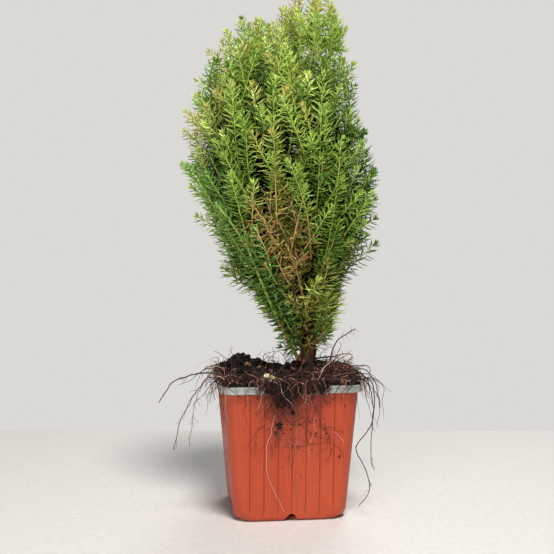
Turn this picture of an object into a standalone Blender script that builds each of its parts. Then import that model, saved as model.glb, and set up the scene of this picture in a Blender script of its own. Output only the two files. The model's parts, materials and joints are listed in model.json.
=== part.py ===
"""Potted conifer: a young upright conifer in a small square nursery pot.

Frame: metres, +Z up, origin at the middle of the pot's flat underside, pot sides square to X and Y.
The plant is laid out in a plan of its own, turned by PLANT_TURN about Z from the pot's sides.
"""

import math
import random

import bmesh
import bpy
import numpy as np
from mathutils import Matrix, Vector
from mathutils.bvhtree import BVHTree

MM = 0.001
GAP = 0.3 * MM  # clearance between neighbouring pieces

# Pot: a tapering square body, and a separate pale band round its mouth
POT_HEIGHT = 66.0 * MM
POT_TOP = 66.0 * MM  # outer width of the body at its mouth
POT_FOOT = 55.0 * MM  # outer width at the underside
POT_WALL = 1.0 * MM
POT_CORNER = 6.5 * MM
POT_HEEL = 2.6 * MM  # rounding between side and underside
GROOVE_PITCH = 6.8 * MM
GROOVES_PER_SIDE = 7
GROOVE_WIDE = 0.5 * MM
GROOVE_DEEP = 0.3 * MM
NOTCH_HALF_WIDE = 4.4 * MM
NOTCH_TALL = 3.9 * MM
NOTCH_DEPTH = 9.0 * MM
RIM_OUT = 70.4 * MM
RIM_TALL = 3.5 * MM
RIM_CAP = 0.6 * MM
RIM_TOP = POT_HEIGHT + GAP + RIM_CAP
LEAN = (POT_TOP - POT_FOOT) / 2 / POT_HEIGHT  # how far a side leans out for each metre up

# Soil: a fill with a low mound over the rim, flat under the trunk
SOIL_CELLS = 10
SOIL_EDGE = 68.4 * MM  # surface height at the pot's sides
SOIL_OVERHANG = 33.4 * MM  # half width above the rim
SOIL_BOTTOM = 1.5 * MM
MOUNDS = [  # x, y, height, spread in x, spread in y (mm)
    (-24.0, 2.0, 7.0, 8.0, 13.0),
    (-14.0, 4.0, 3.6, 7.0, 12.0),
    (12.0, 0.0, 4.9, 10.0, 11.0),
    (28.0, -1.0, 3.6, 7.5, 15.0),
]

# Plant plan
PLANT_TURN = math.radians(-7.0)
TRUNK_FOOT = Vector((12.0, 0.0, 73.4)) * MM
TRUNK_PATH = [  # x, y, height, radius (mm)
    (12.0, 0.0, 73.4, 6.6),
    (12.1, 0.0, 75.0, 5.5),
    (12.3, 0.0, 77.4, 4.7),
    (12.6, 0.0, 82.4, 4.1),
    (13.2, 0.0, 90.4, 3.6),
    (14.0, 0.3, 103.4, 3.1),
    (14.2, 0.6, 121.4, 2.6),
    (13.4, 0.6, 141.4, 2.15),
    (12.2, 0.2, 161.4, 1.8),
    (11.4, -0.2, 181.4, 1.45),
    (11.8, -0.2, 201.4, 1.15),
    (13.2, 0.0, 219.4, 0.95),
    (14.4, 0.0, 232.4, 0.85),
]
SEED = 41

# Crown: half widths along the plan's X at a few heights, and how far the crown's middle lies from the
# pot's middle there. The depth is a fixed share of the width.
CROWN_DEPTH = 0.93
CROWN = [  # height, middle, half width (mm)
    (83.4, 10.0, 5.0),
    (93.4, 8.5, 14.0),
    (108.4, 7.5, 23.0),
    (123.4, 4.5, 34.0),
    (138.4, 4.0, 42.0),
    (153.4, 1.5, 46.5),
    (168.4, -1.0, 48.8),
    (183.4, -3.5, 47.5),
    (198.4, -7.0, 44.0),
    (213.4, -5.5, 41.0),
    (228.4, -2.0, 36.0),
    (243.4, 2.5, 28.0),
    (253.4, 9.0, 17.0),
    (262.4, 15.5, 4.0),
]
FLOW_FOOT = Vector((10.0, 0.0, 61.4)) * MM  # the shoots fan out as if from this point

# Foliage masses: a low ring round the trunk, then six sides with masses at these heights (mm). Next places
# are half a step apart, like bricks, so that the fans of shoots fill each other's gaps.
LOW_RING = ["low_right_back", "low_back", "low_left_back", "low_left_front", "low_front", "low_right_front"]
LOW_HEIGHTS = [120.4, 101.4]
LOW_REACH = [17.0, 11.5]  # from the middle of the ring (mm)
LOW_MIDDLE = [9.0, 13.5]  # along the plan's X (mm)
SIDES = ["right", "back_right", "back_left", "left", "front_left", "front_right"]
EVEN_HEIGHTS = [164.4, 206.4]
ODD_HEIGHTS = [143.4, 185.4, 224.4]
LEADER_HEIGHT = 247.4 * MM
SEED_SHARE = 0.58  # how far out a mass's middle lies, as a share of the crown's half width
CELL_MARGIN = 0.2 * MM
BOUGH_BELOW = 23.0 * MM  # a bough ends this far below the middle of its mass
LOW_BELOW = [14.0 * MM, 9.0 * MM]
BOUGH_ROOT = 1.3 * MM
BOUGH_TIP = 0.75 * MM
LOWEST_FORK = 79.9 * MM
FORK_STEP = 9.0 * MM  # between the forks on one side
FORK_TURN = 0.9 * MM  # between the forks of next sides
FORK_SLOPE = 1.5  # rise of a bough for each metre that it goes out

# Shoots of one mass: a slim three-sided core that some broad needles stand out of
SHOOTS = 12
LOW_SHOOTS = 9
HEART_RADIUS = 6.8 * MM  # the first shoot of a mass is its dense heart
CORE_RADIUS = 4.6 * MM
CORE_WIDEST = 0.4  # share of the length
TWIG_RADIUS = 0.8 * MM
TIP_RADIUS = 0.4 * MM
NEEDLES = 3
NEEDLE_REACH = 6.0 * MM  # from the core's middle line
NEEDLE_ROOT = 1.0 * MM
NEEDLE_RISE = 0.75  # how far a needle's tip stands above its root, as a share of its reach
SHOOT_SHORTEST = 11.0 * MM
SHOOT_LONGEST = 46.0 * MM
SHOOT_STARTS = [0.06, 0.14, 0.22, 0.32, 0.44, 0.58]  # shares of the parent's length
LEAN_LONG = 30.0  # how far the longest and shortest shoots may lean from the flow (degrees)
LEAN_SHORT = 88.0
TARGET_TRIES = 500

# Roots that show above the soil: radius, where each leaves the soil, and the points after that. The loose
# ones are in the plan. The front ones are in the pot's own X and Z, and lie against its front face (mm).
ROOT_LIFT = 0.4 * MM  # of a root's start over the soil
LOOSE_ROOTS = {
    "left_long": (
        0.45,
        (-29.0, -21.0),
        [(-38.3, -26.0, 72.4), (-47.4, -28.0, 70.6), (-54.5, -29.0, 67.4), (-60.7, -30.0, 58.4)],
    ),
    "left_hanging": (
        0.35,
        (-29.5, -25.0),
        [
            (-36.5, -27.0, 70.4),
            (-41.0, -28.0, 65.4),
            (-44.9, -29.0, 59.6),
            (-49.8, -29.0, 50.9),
            (-53.7, -29.0, 35.3),
        ],
    ),
    "left_short": (
        0.3,
        (-29.5, -16.0),
        [(-36.5, -17.5, 69.9), (-41.5, -19.0, 63.4), (-44.3, -20.0, 54.1), (-46.8, -20.0, 35.4)],
    ),
    "right_upright": (
        0.4,
        (21.5, -9.0),
        [(24.0, -10.0, 81.4), (26.5, -11.0, 86.4), (30.5, -12.0, 89.9), (35.5, -13.0, 92.4)],
    ),
    "right_arch": (
        0.35,
        (31.0, -16.0),
        [(38.8, -17.0, 72.9), (44.8, -18.0, 65.7), (47.3, -18.0, 53.8)],
    ),
    "right_long": (
        0.35,
        (32.0, -8.0),
        [
            (38.8, -12.0, 69.2),
            (44.2, -16.0, 63.4),
            (43.0, -17.0, 45.6),
            (35.3, -18.0, 33.8),
            (40.4, -19.0, 23.1),
            (42.0, -19.0, 13.1),
            (37.0, -19.0, 4.8),
        ],
    ),
    "right_hanging": (
        0.3,
        (29.5, -23.0),
        [
            (38.9, -27.0, 69.0),
            (42.4, -29.0, 59.4),
            (42.2, -30.0, 49.2),
            (41.3, -30.0, 30.7),
            (43.3, -30.0, 25.8),
        ],
    ),
}
FRONT_ROOTS = {
    "front_left": (
        0.3,
        [(-8.6, 53.4), (-11.2, 41.9), (-12.5, 36.9), (-12.0, 24.4), (-8.0, 13.7), (-3.6, 4.8)],
    ),
    "front_right": (
        0.3,
        [(0.6, 60.4), (1.9, 51.7), (1.9, 39.3), (0.6, 26.8), (1.8, 16.6), (4.0, 6.6)],
    ),
}

# The mat of roots and soil over the front of the rim: its left and right ends, how deep it is in its middle,
# its middle line from the soil out over the rim (Y, Z), and how low it hangs at each place along X (mm)
CLUMP_ENDS = (-14.5, 15.5)
CLUMP_DEEP = 2.7
CLUMP_OVER = [(-30.6, 70.8), (-34.4, 70.8), (-37.5, 68.8)]
CLUMP_PLACES = [-14.5, -11.0, -8.5, -5.0, -2.5, 2.0, 8.0, 15.5]
CLUMP_LOWEST = [63.9, 60.4, 55.0, 54.4, 58.9, 61.9, 61.0, 64.4]
CLUMP_COLUMNS = 11
CLUMP_ROWS = 6

COLOURS = {
    "pot_plastic": ((0.485, 0.075, 0.030), 0.38),
    "rim_plastic": ((0.36, 0.38, 0.34), 0.42),
    "potting_soil": ((0.022, 0.014, 0.010), 0.95),
    "bark": ((0.115, 0.045, 0.024), 0.85),
    "needles": ((0.105, 0.165, 0.028), 0.65),
    "fine_roots": ((0.075, 0.040, 0.026), 0.80),
}


def clear_scene():
    for old in list(bpy.data.objects):
        bpy.data.objects.remove(old, do_unlink=True)
    for old in list(bpy.data.collections):
        bpy.data.collections.remove(old)


def make_materials():
    made = {}
    for name, (colour, roughness) in COLOURS.items():
        material = bpy.data.materials.new(name)
        material.use_nodes = True
        shader = material.node_tree.nodes["Principled BSDF"]
        shader.inputs["Base Color"].default_value = (*colour, 1.0)
        shader.inputs["Roughness"].default_value = roughness
        shader.inputs["Metallic"].default_value = 0.0
        made[name] = material
    return made


clear_scene()
MATERIALS = make_materials()
PART = bpy.data.collections.new("potted_conifer")
CUTTERS = bpy.data.collections.new("cutters")
PIECES = bpy.data.collections.new("pieces")
for group in (PART, CUTTERS, PIECES):
    bpy.context.scene.collection.children.link(group)


def new_object(name, mesh, collection, material=None):
    made = bpy.data.objects.new(name, mesh)
    collection.objects.link(made)
    if material:
        mesh.materials.append(MATERIALS[material])
    return made


def from_bmesh(name, shape, collection, material=None):
    mesh = bpy.data.meshes.new(name)
    shape.normal_update()
    shape.to_mesh(mesh)
    shape.free()
    return new_object(name, mesh, collection, material)


def as_cutter(made):
    made.hide_render = True
    made.display_type = "WIRE"
    return made


def apply_modifiers(made):
    """Replaces the object's mesh by its evaluated one."""
    graph = bpy.context.evaluated_depsgraph_get()
    mesh = bpy.data.meshes.new_from_object(made.evaluated_get(graph))
    made.modifiers.clear()
    made.data = mesh


def remove_objects(collection):
    for used in list(collection.objects):
        mesh = used.data
        bpy.data.objects.remove(used, do_unlink=True)
        bpy.data.meshes.remove(mesh)


def boolean(target, collection, operation, solver="EXACT"):
    joined = target.modifiers.new(operation.lower(), "BOOLEAN")
    joined.operation = operation
    joined.operand_type = "COLLECTION"
    joined.collection = collection
    joined.solver = solver
    apply_modifiers(target)


def keep_main_shell(made):
    """Drops loose scraps and the skins of sealed hollows, and keeps the largest shell."""
    shape = bmesh.new()
    shape.from_mesh(made.data)
    bmesh.ops.remove_doubles(shape, verts=shape.verts, dist=1e-7)
    left = set(shape.verts)
    shells = []
    while left:
        start = left.pop()
        shell = {start}
        front = [start]
        while front:
            vertex = front.pop()
            for edge in vertex.link_edges:
                other = edge.other_vert(vertex)
                if other not in shell:
                    shell.add(other)
                    front.append(other)
        left -= shell
        shells.append(shell)
    main = max(shells, key=len)
    scraps = [vertex for shell in shells if shell is not main for vertex in shell]
    bmesh.ops.delete(shape, geom=scraps, context="VERTS")
    shape.to_mesh(made.data)
    shape.free()


def smooth_path(points, count):
    """Points evenly spread in parameter along a Catmull-Rom curve through the given ones."""
    p = [np.array(q, float) for q in points]
    p = [2 * p[0] - p[1], *p, 2 * p[-1] - p[-2]]
    found = []
    spans = len(p) - 3
    for i in range(count):
        s = i / (count - 1) * spans
        k = min(int(s), spans - 1)
        t = s - k
        a, b, c, d = p[k : k + 4]
        bend = (2 * a - 5 * b + 4 * c - d) * t * t + (3 * b - a - 3 * c + d) * t**3
        found.append(0.5 * (2 * b + (c - a) * t + bend))
    return found


def tube(name, points, radii, resolution, material):
    """A round limb along the points, with a radius at each."""
    curve = bpy.data.curves.new(name, "CURVE")
    curve.dimensions = "3D"
    curve.bevel_depth = 1.0
    curve.bevel_resolution = resolution
    curve.use_fill_caps = True
    spline = curve.splines.new("POLY")
    spline.points.add(len(points) - 1)
    for knot, point, radius in zip(spline.points, points, radii):
        knot.co = (*point, 1.0)
        knot.radius = radius
    source = bpy.data.objects.new(name, curve)
    PART.objects.link(source)
    graph = bpy.context.evaluated_depsgraph_get()
    mesh = bpy.data.meshes.new_from_object(source.evaluated_get(graph))
    bpy.data.objects.remove(source, do_unlink=True)
    bpy.data.curves.remove(curve)
    shape = bmesh.new()
    shape.from_mesh(mesh)
    bmesh.ops.remove_doubles(shape, verts=shape.verts, dist=1e-6)
    bmesh.ops.recalc_face_normals(shape, faces=shape.faces)
    shape.to_mesh(mesh)
    shape.free()
    mesh.materials.clear()
    return new_object(name, mesh, PART, material)


# ---------------------------------------------------------------- pot


def wall_half(height, inset=0.0):
    """Half the body's outer width at a height, less an inset."""
    return POT_FOOT / 2 + LEAN * height - inset


def frustum(name, low, high, half_low, half_high, corner, collection):
    """A square block between two heights with rounded upright edges."""
    shape = bmesh.new()
    bmesh.ops.create_cube(shape, size=1.0)
    for vertex in shape.verts:
        up = vertex.co.z > 0
        half = half_high if up else half_low
        x = math.copysign(half, vertex.co.x)
        y = math.copysign(half, vertex.co.y)
        vertex.co = Vector((x, y, high if up else low))
    upright = [e for e in shape.edges if abs(e.verts[0].co.z - e.verts[1].co.z) > 1e-5]
    bmesh.ops.bevel(shape, geom=upright, offset=corner, segments=4, profile=0.5, affect="EDGES")
    return from_bmesh(name, shape, collection)


def make_pot():
    shape = bmesh.new()
    bmesh.ops.create_cube(shape, size=1.0)
    for vertex in shape.verts:
        up = vertex.co.z > 0
        half = (POT_TOP if up else POT_FOOT) / 2
        x = math.copysign(half, vertex.co.x)
        y = math.copysign(half, vertex.co.y)
        vertex.co = Vector((x, y, POT_HEIGHT if up else 0.0))
    upright = [e for e in shape.edges if abs(e.verts[0].co.z - e.verts[1].co.z) > 1e-5]
    bmesh.ops.bevel(shape, geom=upright, offset=POT_CORNER, segments=4, profile=0.5, affect="EDGES")
    mouth = [f for f in shape.faces if all(v.co.z > POT_HEIGHT - 1e-6 for v in f.verts)]
    bmesh.ops.delete(shape, geom=mouth, context="FACES")
    heel = [e for e in shape.edges if all(v.co.z < 1e-6 for v in e.verts)]
    bmesh.ops.bevel(shape, geom=heel, offset=POT_HEEL, segments=2, profile=0.5, affect="EDGES")
    pot = from_bmesh("pot", shape, PART, "pot_plastic")
    skin = pot.modifiers.new("wall", "SOLIDIFY")
    skin.thickness = POT_WALL
    skin.offset = -1.0
    skin.use_even_offset = True
    apply_modifiers(pot)
    tilt = math.atan(LEAN)
    for side in range(4):
        turn = Matrix.Rotation(side * math.pi / 2, 4, "Z")
        for k in range(GROOVES_PER_SIDE):
            x = (k - (GROOVES_PER_SIDE - 1) / 2) * GROOVE_PITCH
            groove = bmesh.new()
            bmesh.ops.create_cube(groove, size=1.0)
            size = Matrix.Diagonal((GROOVE_WIDE, 2 * GROOVE_DEEP, POT_HEIGHT - 9 * MM, 1.0))
            middle = POT_HEIGHT / 2 + 1.5 * MM
            stand = Matrix.Translation((x, -wall_half(middle), middle)) @ Matrix.Rotation(tilt, 4, "X")
            bmesh.ops.transform(groove, matrix=turn @ stand @ size, verts=groove.verts)
            as_cutter(from_bmesh(f"groove_{side}_{k}", groove, CUTTERS))
        outline = bpy.data.curves.new("notch", "CURVE")
        outline.dimensions = "2D"
        outline.fill_mode = "BOTH"
        outline.extrude = NOTCH_DEPTH / 2
        arch = outline.splines.new("POLY")
        arch.use_cyclic_u = True
        steps = 10
        arch.points.add(steps + 2)
        knots = [(-NOTCH_HALF_WIDE, -2 * MM)]
        for i in range(steps + 1):
            x = (2 * i / steps - 1) * NOTCH_HALF_WIDE
            bell = math.cos(x / NOTCH_HALF_WIDE * math.pi / 2) ** 1.3
            knots.append((x, NOTCH_TALL * bell - 0.15 * MM))
        knots.append((NOTCH_HALF_WIDE, -2 * MM))
        for knot, (x, z) in zip(arch.points, knots):
            knot.co = (x, z, 0.0, 1.0)
        source = bpy.data.objects.new("notch", outline)
        CUTTERS.objects.link(source)
        graph = bpy.context.evaluated_depsgraph_get()
        mesh = bpy.data.meshes.new_from_object(source.evaluated_get(graph))
        bpy.data.objects.remove(source, do_unlink=True)
        bpy.data.curves.remove(outline)
        cut = bmesh.new()
        cut.from_mesh(mesh)
        bpy.data.meshes.remove(mesh)
        bmesh.ops.remove_doubles(cut, verts=cut.verts, dist=1e-6)
        bmesh.ops.recalc_face_normals(cut, faces=cut.faces)
        stand = Matrix.Translation((0, -POT_FOOT / 2, 0)) @ Matrix.Rotation(math.pi / 2, 4, "X")
        bmesh.ops.transform(cut, matrix=turn @ stand, verts=cut.verts)
        as_cutter(from_bmesh(f"notch_{side}", cut, CUTTERS))
    boolean(pot, CUTTERS, "DIFFERENCE")
    remove_objects(CUTTERS)


def make_rim():
    bottom = RIM_TOP - RIM_TALL
    half_low = RIM_OUT / 2 - 0.5 * MM
    rim = frustum("pot_rim", bottom, RIM_TOP, half_low, RIM_OUT / 2, POT_CORNER + 1.6 * MM, PART)
    rim.data.materials.append(MATERIALS["rim_plastic"])
    ledge = POT_HEIGHT + GAP
    seat_low = wall_half(bottom - MM) + GAP * 1.2
    seat_high = wall_half(ledge) + GAP * 1.2
    frustum("rim_seat", bottom - MM, ledge, seat_low, seat_high, POT_CORNER + 0.2 * MM, CUTTERS)
    mouth_low = wall_half(bottom - MM, POT_WALL)
    mouth_high = wall_half(POT_HEIGHT, POT_WALL)
    frustum("rim_mouth", bottom - MM, RIM_TOP + MM, mouth_low, mouth_high, POT_CORNER - 0.8 * MM, CUTTERS)
    for cutter in CUTTERS.objects:
        as_cutter(cutter)
    boolean(rim, CUTTERS, "DIFFERENCE")
    remove_objects(CUTTERS)


# ---------------------------------------------------------------- soil


def pot_to_plan(point):
    return Matrix.Rotation(-PLANT_TURN, 4, "Z") @ Vector(point)


def soil_height(x, y):
    """Surface height at a place in the plan."""
    height = SOIL_EDGE
    for mx, my, tall, wide, deep in MOUNDS:
        height += tall * MM * math.exp(-(((x / MM - mx) / wide) ** 2 + ((y / MM - my) / deep) ** 2))
    ripple = math.sin(x * 610 + 1.3) * math.sin(y * 540 + 0.4) + 0.6 * math.sin(x * 1330 + y * 990)
    height += 0.45 * MM * ripple
    far = math.hypot(x - TRUNK_FOOT.x, y - TRUNK_FOOT.y)
    flat = TRUNK_FOOT.z - GAP
    if far < 7.5 * MM:
        return flat
    if far < 14.0 * MM:
        return min(height, flat)
    return height


def rounded(x, y, half, corner):
    """Moves a point of a square of that half width onto one with rounded corners."""
    inner = half - corner
    ax, ay = abs(x) - inner, abs(y) - inner
    if ax <= 0 or ay <= 0:
        return x, y
    far = math.hypot(ax, ay)
    reach = max(ax, ay)
    return math.copysign(inner + ax / far * reach, x), math.copysign(inner + ay / far * reach, y)


def make_soil():
    corner = POT_CORNER - 0.6 * MM
    shape = bmesh.new()
    bmesh.ops.create_grid(shape, x_segments=SOIL_CELLS, y_segments=SOIL_CELLS, size=SOIL_OVERHANG)
    for vertex in shape.verts:
        x, y = rounded(vertex.co.x, vertex.co.y, SOIL_OVERHANG, corner)
        plan = pot_to_plan((x, y, 0))
        vertex.co = Vector((x, y, soil_height(plan.x, plan.y)))
    lip = RIM_TOP + GAP
    mouth = wall_half(POT_HEIGHT, POT_WALL + GAP * 1.5)
    rings = [
        (lip, SOIL_OVERHANG),
        (lip, mouth),
        (5.0 * MM, wall_half(5.0 * MM, POT_WALL + GAP * 1.5)),
        (SOIL_BOTTOM, wall_half(SOIL_BOTTOM, POT_WALL + POT_HEEL)),
    ]
    half = SOIL_OVERHANG
    for height, wanted in rings:
        edge = [e for e in shape.edges if e.is_boundary]
        made = bmesh.ops.extrude_edge_only(shape, edges=edge)["geom"]
        for vertex in (g for g in made if isinstance(g, bmesh.types.BMVert)):
            vertex.co = Vector((vertex.co.x * wanted / half, vertex.co.y * wanted / half, height))
        half = wanted
    bmesh.ops.holes_fill(shape, edges=[e for e in shape.edges if e.is_boundary])
    bmesh.ops.recalc_face_normals(shape, faces=shape.faces)
    return from_bmesh("soil", shape, PART, "potting_soil")


# ---------------------------------------------------------------- crown and limbs


def crown_at(height):
    """The crown's middle and half width at a height."""
    heights, middles, halves = zip(*CROWN)
    middle = float(np.interp(height / MM, heights, middles))
    half = float(np.interp(height / MM, heights, halves))
    return middle * MM, half * MM


def crown_fill(point):
    """Below 1 inside the crown's envelope."""
    if point[2] < CROWN[0][0] * MM or point[2] > CROWN[-1][0] * MM:
        return 9.0
    middle, half = crown_at(point[2])
    return math.hypot((point[0] - middle) / half, point[1] / (half * CROWN_DEPTH))


def flow(point):
    """The way that shoots grow at a point: up, and fanning out from the foot."""
    way = Vector(point) - FLOW_FOOT
    way.normalize()
    return way


def mass_seeds():
    """The middle of each mass, by name."""
    seeds = {}
    for k, place in enumerate(LOW_RING):
        angle = 2 * math.pi * (k + 0.5) / len(LOW_RING)
        row = k % 2
        x = (LOW_MIDDLE[row] + LOW_REACH[row] * math.cos(angle)) * MM
        y = LOW_REACH[row] * MM * math.sin(angle)
        seeds[place] = Vector((x, y, LOW_HEIGHTS[row] * MM))
    for k, side in enumerate(SIDES):
        angle = 2 * math.pi * k / len(SIDES)
        for rank, height in enumerate(ODD_HEIGHTS if k % 2 else EVEN_HEIGHTS):
            z = height * MM
            middle, half = crown_at(z)
            reach = half * SEED_SHARE
            place = Vector((middle + reach * math.cos(angle), reach * CROWN_DEPTH * math.sin(angle), z))
            seeds[f"{side}_{rank + 1}"] = place
    seeds["top"] = Vector((TRUNK_PATH[-1][0] * MM, 0.0, LEADER_HEIGHT))
    return seeds


def level(name):
    """How many masses stand below this one on its side."""
    return 0 if name in LOW_RING else int(name.rsplit("_", 1)[1])


def cell_walls(name, seeds):
    """The planes half way to the other masses' middles, as (point, outward normal)."""
    own = seeds[name]
    walls = []
    for other, place in seeds.items():
        if other != name:
            way = (place - own).normalized()
            walls.append(((own + place) / 2 - way * CELL_MARGIN, way))
    return walls


def room(point, walls):
    """How far a point lies inside its cell."""
    return min((wall - Vector(point)).dot(way) for wall, way in walls)


class Limb:
    def __init__(self, name, points, radii):
        self.name = name
        self.points = [np.array(p, float) for p in points]
        self.radii = list(radii)


LIMBS = []


def clear_of_limbs(point, skip=None):
    """The distance from a point to the nearest limb's surface."""
    p = np.array(point, float)
    nearest = 1.0
    for limb in LIMBS:
        if limb.name == skip:
            continue
        for a, b, ra, rb in zip(limb.points, limb.points[1:], limb.radii, limb.radii[1:]):
            along = b - a
            t = min(1.0, max(0.0, float(np.dot(p - a, along) / np.dot(along, along))))
            gap = float(np.linalg.norm(p - a - along * t)) - max(ra, rb)
            nearest = min(nearest, gap)
    return nearest


def make_trunk(parent):
    points = [Vector(row[:3]) * MM for row in TRUNK_PATH]
    radii = [row[3] * MM for row in TRUNK_PATH]
    trunk = tube("trunk", points, radii, 2, "bark")
    trunk.parent = parent
    foot = TRUNK_FOOT.z
    for vertex in trunk.data.vertices:  # a level cut at the soil
        if vertex.co.z < foot + 0.8 * MM:
            vertex.co.z = foot
    LIMBS.append(Limb("trunk", points, radii))


def trunk_at(height):
    for low, high in zip(TRUNK_PATH, TRUNK_PATH[1:]):
        if height <= high[2] * MM:
            t = (height / MM - low[2]) / (high[2] - low[2])
            row = [a + (b - a) * t for a, b in zip(low, high)]
            return Vector(row[:3]) * MM, row[3] * MM
    return Vector(TRUNK_PATH[-1][:3]) * MM, TRUNK_PATH[-1][3] * MM


def bough_route(name, tip):
    """A smooth limb from the trunk's side to its tip, steep like the shoots."""
    far = math.hypot(tip.x - TRUNK_FOOT.x, tip.y)
    place = LOW_RING.index(name) if name in LOW_RING else SIDES.index(name.rsplit("_", 1)[0])
    least = LOWEST_FORK + FORK_STEP * level(name) + FORK_TURN * place
    fork = max(least, tip.z - far * FORK_SLOPE)
    axis, thick = trunk_at(fork)
    out = Vector((tip.x - axis.x, tip.y - axis.y, 0.0)).normalized()
    first = (out * 0.78 + Vector((0, 0, 0.62))).normalized()
    start = axis + out * (thick + GAP * 1.3 + BOUGH_ROOT * 0.62)
    reach = (tip - start).length
    handle_a = start + first * reach * 0.25
    handle_b = tip - flow(tip) * reach * 0.4
    route = []
    for i in range(6):
        t = i / 5
        a = start.lerp(handle_a, t)
        b = handle_a.lerp(handle_b, t)
        c = handle_b.lerp(tip, t)
        route.append(a.lerp(b, t).lerp(b.lerp(c, t), t))
    return route


def make_boughs(seeds, parent):
    """Makes a bough to each mass, and returns where each mass's stem starts."""
    ends = {}
    for name, middle in seeds.items():
        if name == "top":
            ends[name] = Vector(TRUNK_PATH[-1][:3]) * MM
            continue
        walls = cell_walls(name, seeds)
        below = LOW_BELOW[LOW_RING.index(name) % 2] if name in LOW_RING else BOUGH_BELOW
        tip = middle - flow(middle) * below
        while (room(tip, walls) < 2.0 * MM or crown_fill(tip) > 0.8) and below > 2 * MM:
            below -= 1 * MM
            tip = middle - flow(middle) * below
        ends[name] = tip
        route = bough_route(name, tip)
        last = len(route) - 1
        radii = [BOUGH_ROOT + (BOUGH_TIP - BOUGH_ROOT) * i / last for i in range(last + 1)]
        bough = tube(f"bough_{name}", route, radii, 0, "bark")
        bough.parent = parent
        LIMBS.append(Limb(f"bough_{name}", route, radii))
    return ends


# ---------------------------------------------------------------- foliage


def shoot_place(root, tip, roll):
    turn = Vector((0, 0, 1)).rotation_difference((tip - root).normalized()).to_matrix().to_4x4()
    return Matrix.Translation(root) @ turn @ Matrix.Rotation(roll, 4, "Z")


def shoot_core(root, tip, rings, roll, name):
    """A three-sided rod from root to tip: each ring is (share of the length, radius)."""
    shape = bmesh.new()
    start = bmesh.ops.create_circle(shape, cap_ends=True, segments=3, radius=rings[0][1])["verts"]
    cap = start[0].link_faces[0]
    length = (tip - root).length
    for number, (before, after) in enumerate(zip(rings, rings[1:])):
        grown = bmesh.ops.extrude_face_region(shape, geom=[cap])["geom"]
        if number:
            bmesh.ops.delete(shape, geom=[cap], context="FACES_ONLY")
        cap = next(g for g in grown if isinstance(g, bmesh.types.BMFace))
        for vertex in cap.verts:
            wider = after[1] / before[1]
            vertex.co = Vector((vertex.co.x * wider, vertex.co.y * wider, after[0] * length))
    bmesh.ops.recalc_face_normals(shape, faces=shape.faces)
    bmesh.ops.transform(shape, matrix=shoot_place(root, tip, roll), verts=shape.verts)
    return from_bmesh(name, shape, PIECES)


def add_needles(root, tip, rings, roll, walls, label, bare):
    """Broad needles standing out of the middles of a core's three sides."""
    place = shoot_place(root, tip, roll).to_3x3()
    way = (tip - root).normalized()
    for i in range(NEEDLES):
        share = bare + (0.96 - bare) * (i + 0.35) / NEEDLES
        side = math.radians(60 + 120 * (i % 3))
        out = place @ Vector((math.cos(side), math.sin(side), 0.0))
        at = root.lerp(tip, share)
        reach = NEEDLE_REACH * (0.85 if i == NEEDLES - 1 else 1.0) + (rings[-2][1] - CORE_RADIUS) / 2
        for attempt in range(4):
            point = at + out * reach + way * reach * NEEDLE_RISE
            if needle_fits(at, point, walls):
                break
            reach *= 0.88
        else:
            continue
        shape = bmesh.new()
        along = point - at
        tall = along.length
        bmesh.ops.create_cone(shape, cap_ends=True, segments=3, radius1=NEEDLE_ROOT, radius2=0.0, depth=tall)
        turn = Vector((0, 0, 1)).rotation_difference(along.normalized()).to_matrix().to_4x4()
        bmesh.ops.transform(shape, matrix=Matrix.Translation(at.lerp(point, 0.5)) @ turn, verts=shape.verts)
        from_bmesh(f"needle_{label}_{i}", shape, PIECES)


def needle_fits(at, point, walls):
    if room(point, walls) < 0.05 * MM or crown_fill(point) > 1.04:
        return False
    for share in (0.3, 0.6, 1.0):
        thick = NEEDLE_ROOT * (1.0 - share)
        if clear_of_limbs(at.lerp(point, share)) < GAP + 0.05 * MM + thick:
            return False
    return True


def core_rings(root, tip, walls, skip=None):
    """Rings for a shoot that keeps to its cell and clear of the limbs, or None."""
    wanted = [(0.0, TWIG_RADIUS), (CORE_WIDEST, CORE_RADIUS), (1.0, TIP_RADIUS)]
    if skip:
        wanted = [(0.0, TWIG_RADIUS), (0.16, TWIG_RADIUS), (0.5, HEART_RADIUS), (1.0, TIP_RADIUS)]
    rings = []
    for share, radius in wanted:
        place = root.lerp(tip, share)
        allowed = radius
        if not (skip and share == 0.0):
            allowed = min(radius, room(place, walls), clear_of_limbs(place, skip) - GAP)
        if allowed < min(0.8 * radius, 1.7 * MM):
            return None
        rings.append((share, allowed))
    for number in range(16):
        share = (number + 0.5) / 16
        low, high = next((a, b) for a, b in zip(rings, rings[1:]) if share <= b[0])
        t = (share - low[0]) / (high[0] - low[0])
        thick = low[1] + (high[1] - low[1]) * t
        if clear_of_limbs(root.lerp(tip, share), skip if share < 0.3 else None) - GAP < thick:
            if not skip or share > 0.9:
                return None
            rings[2] = (rings[2][0], rings[2][1] * 0.85)
    return rings


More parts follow.
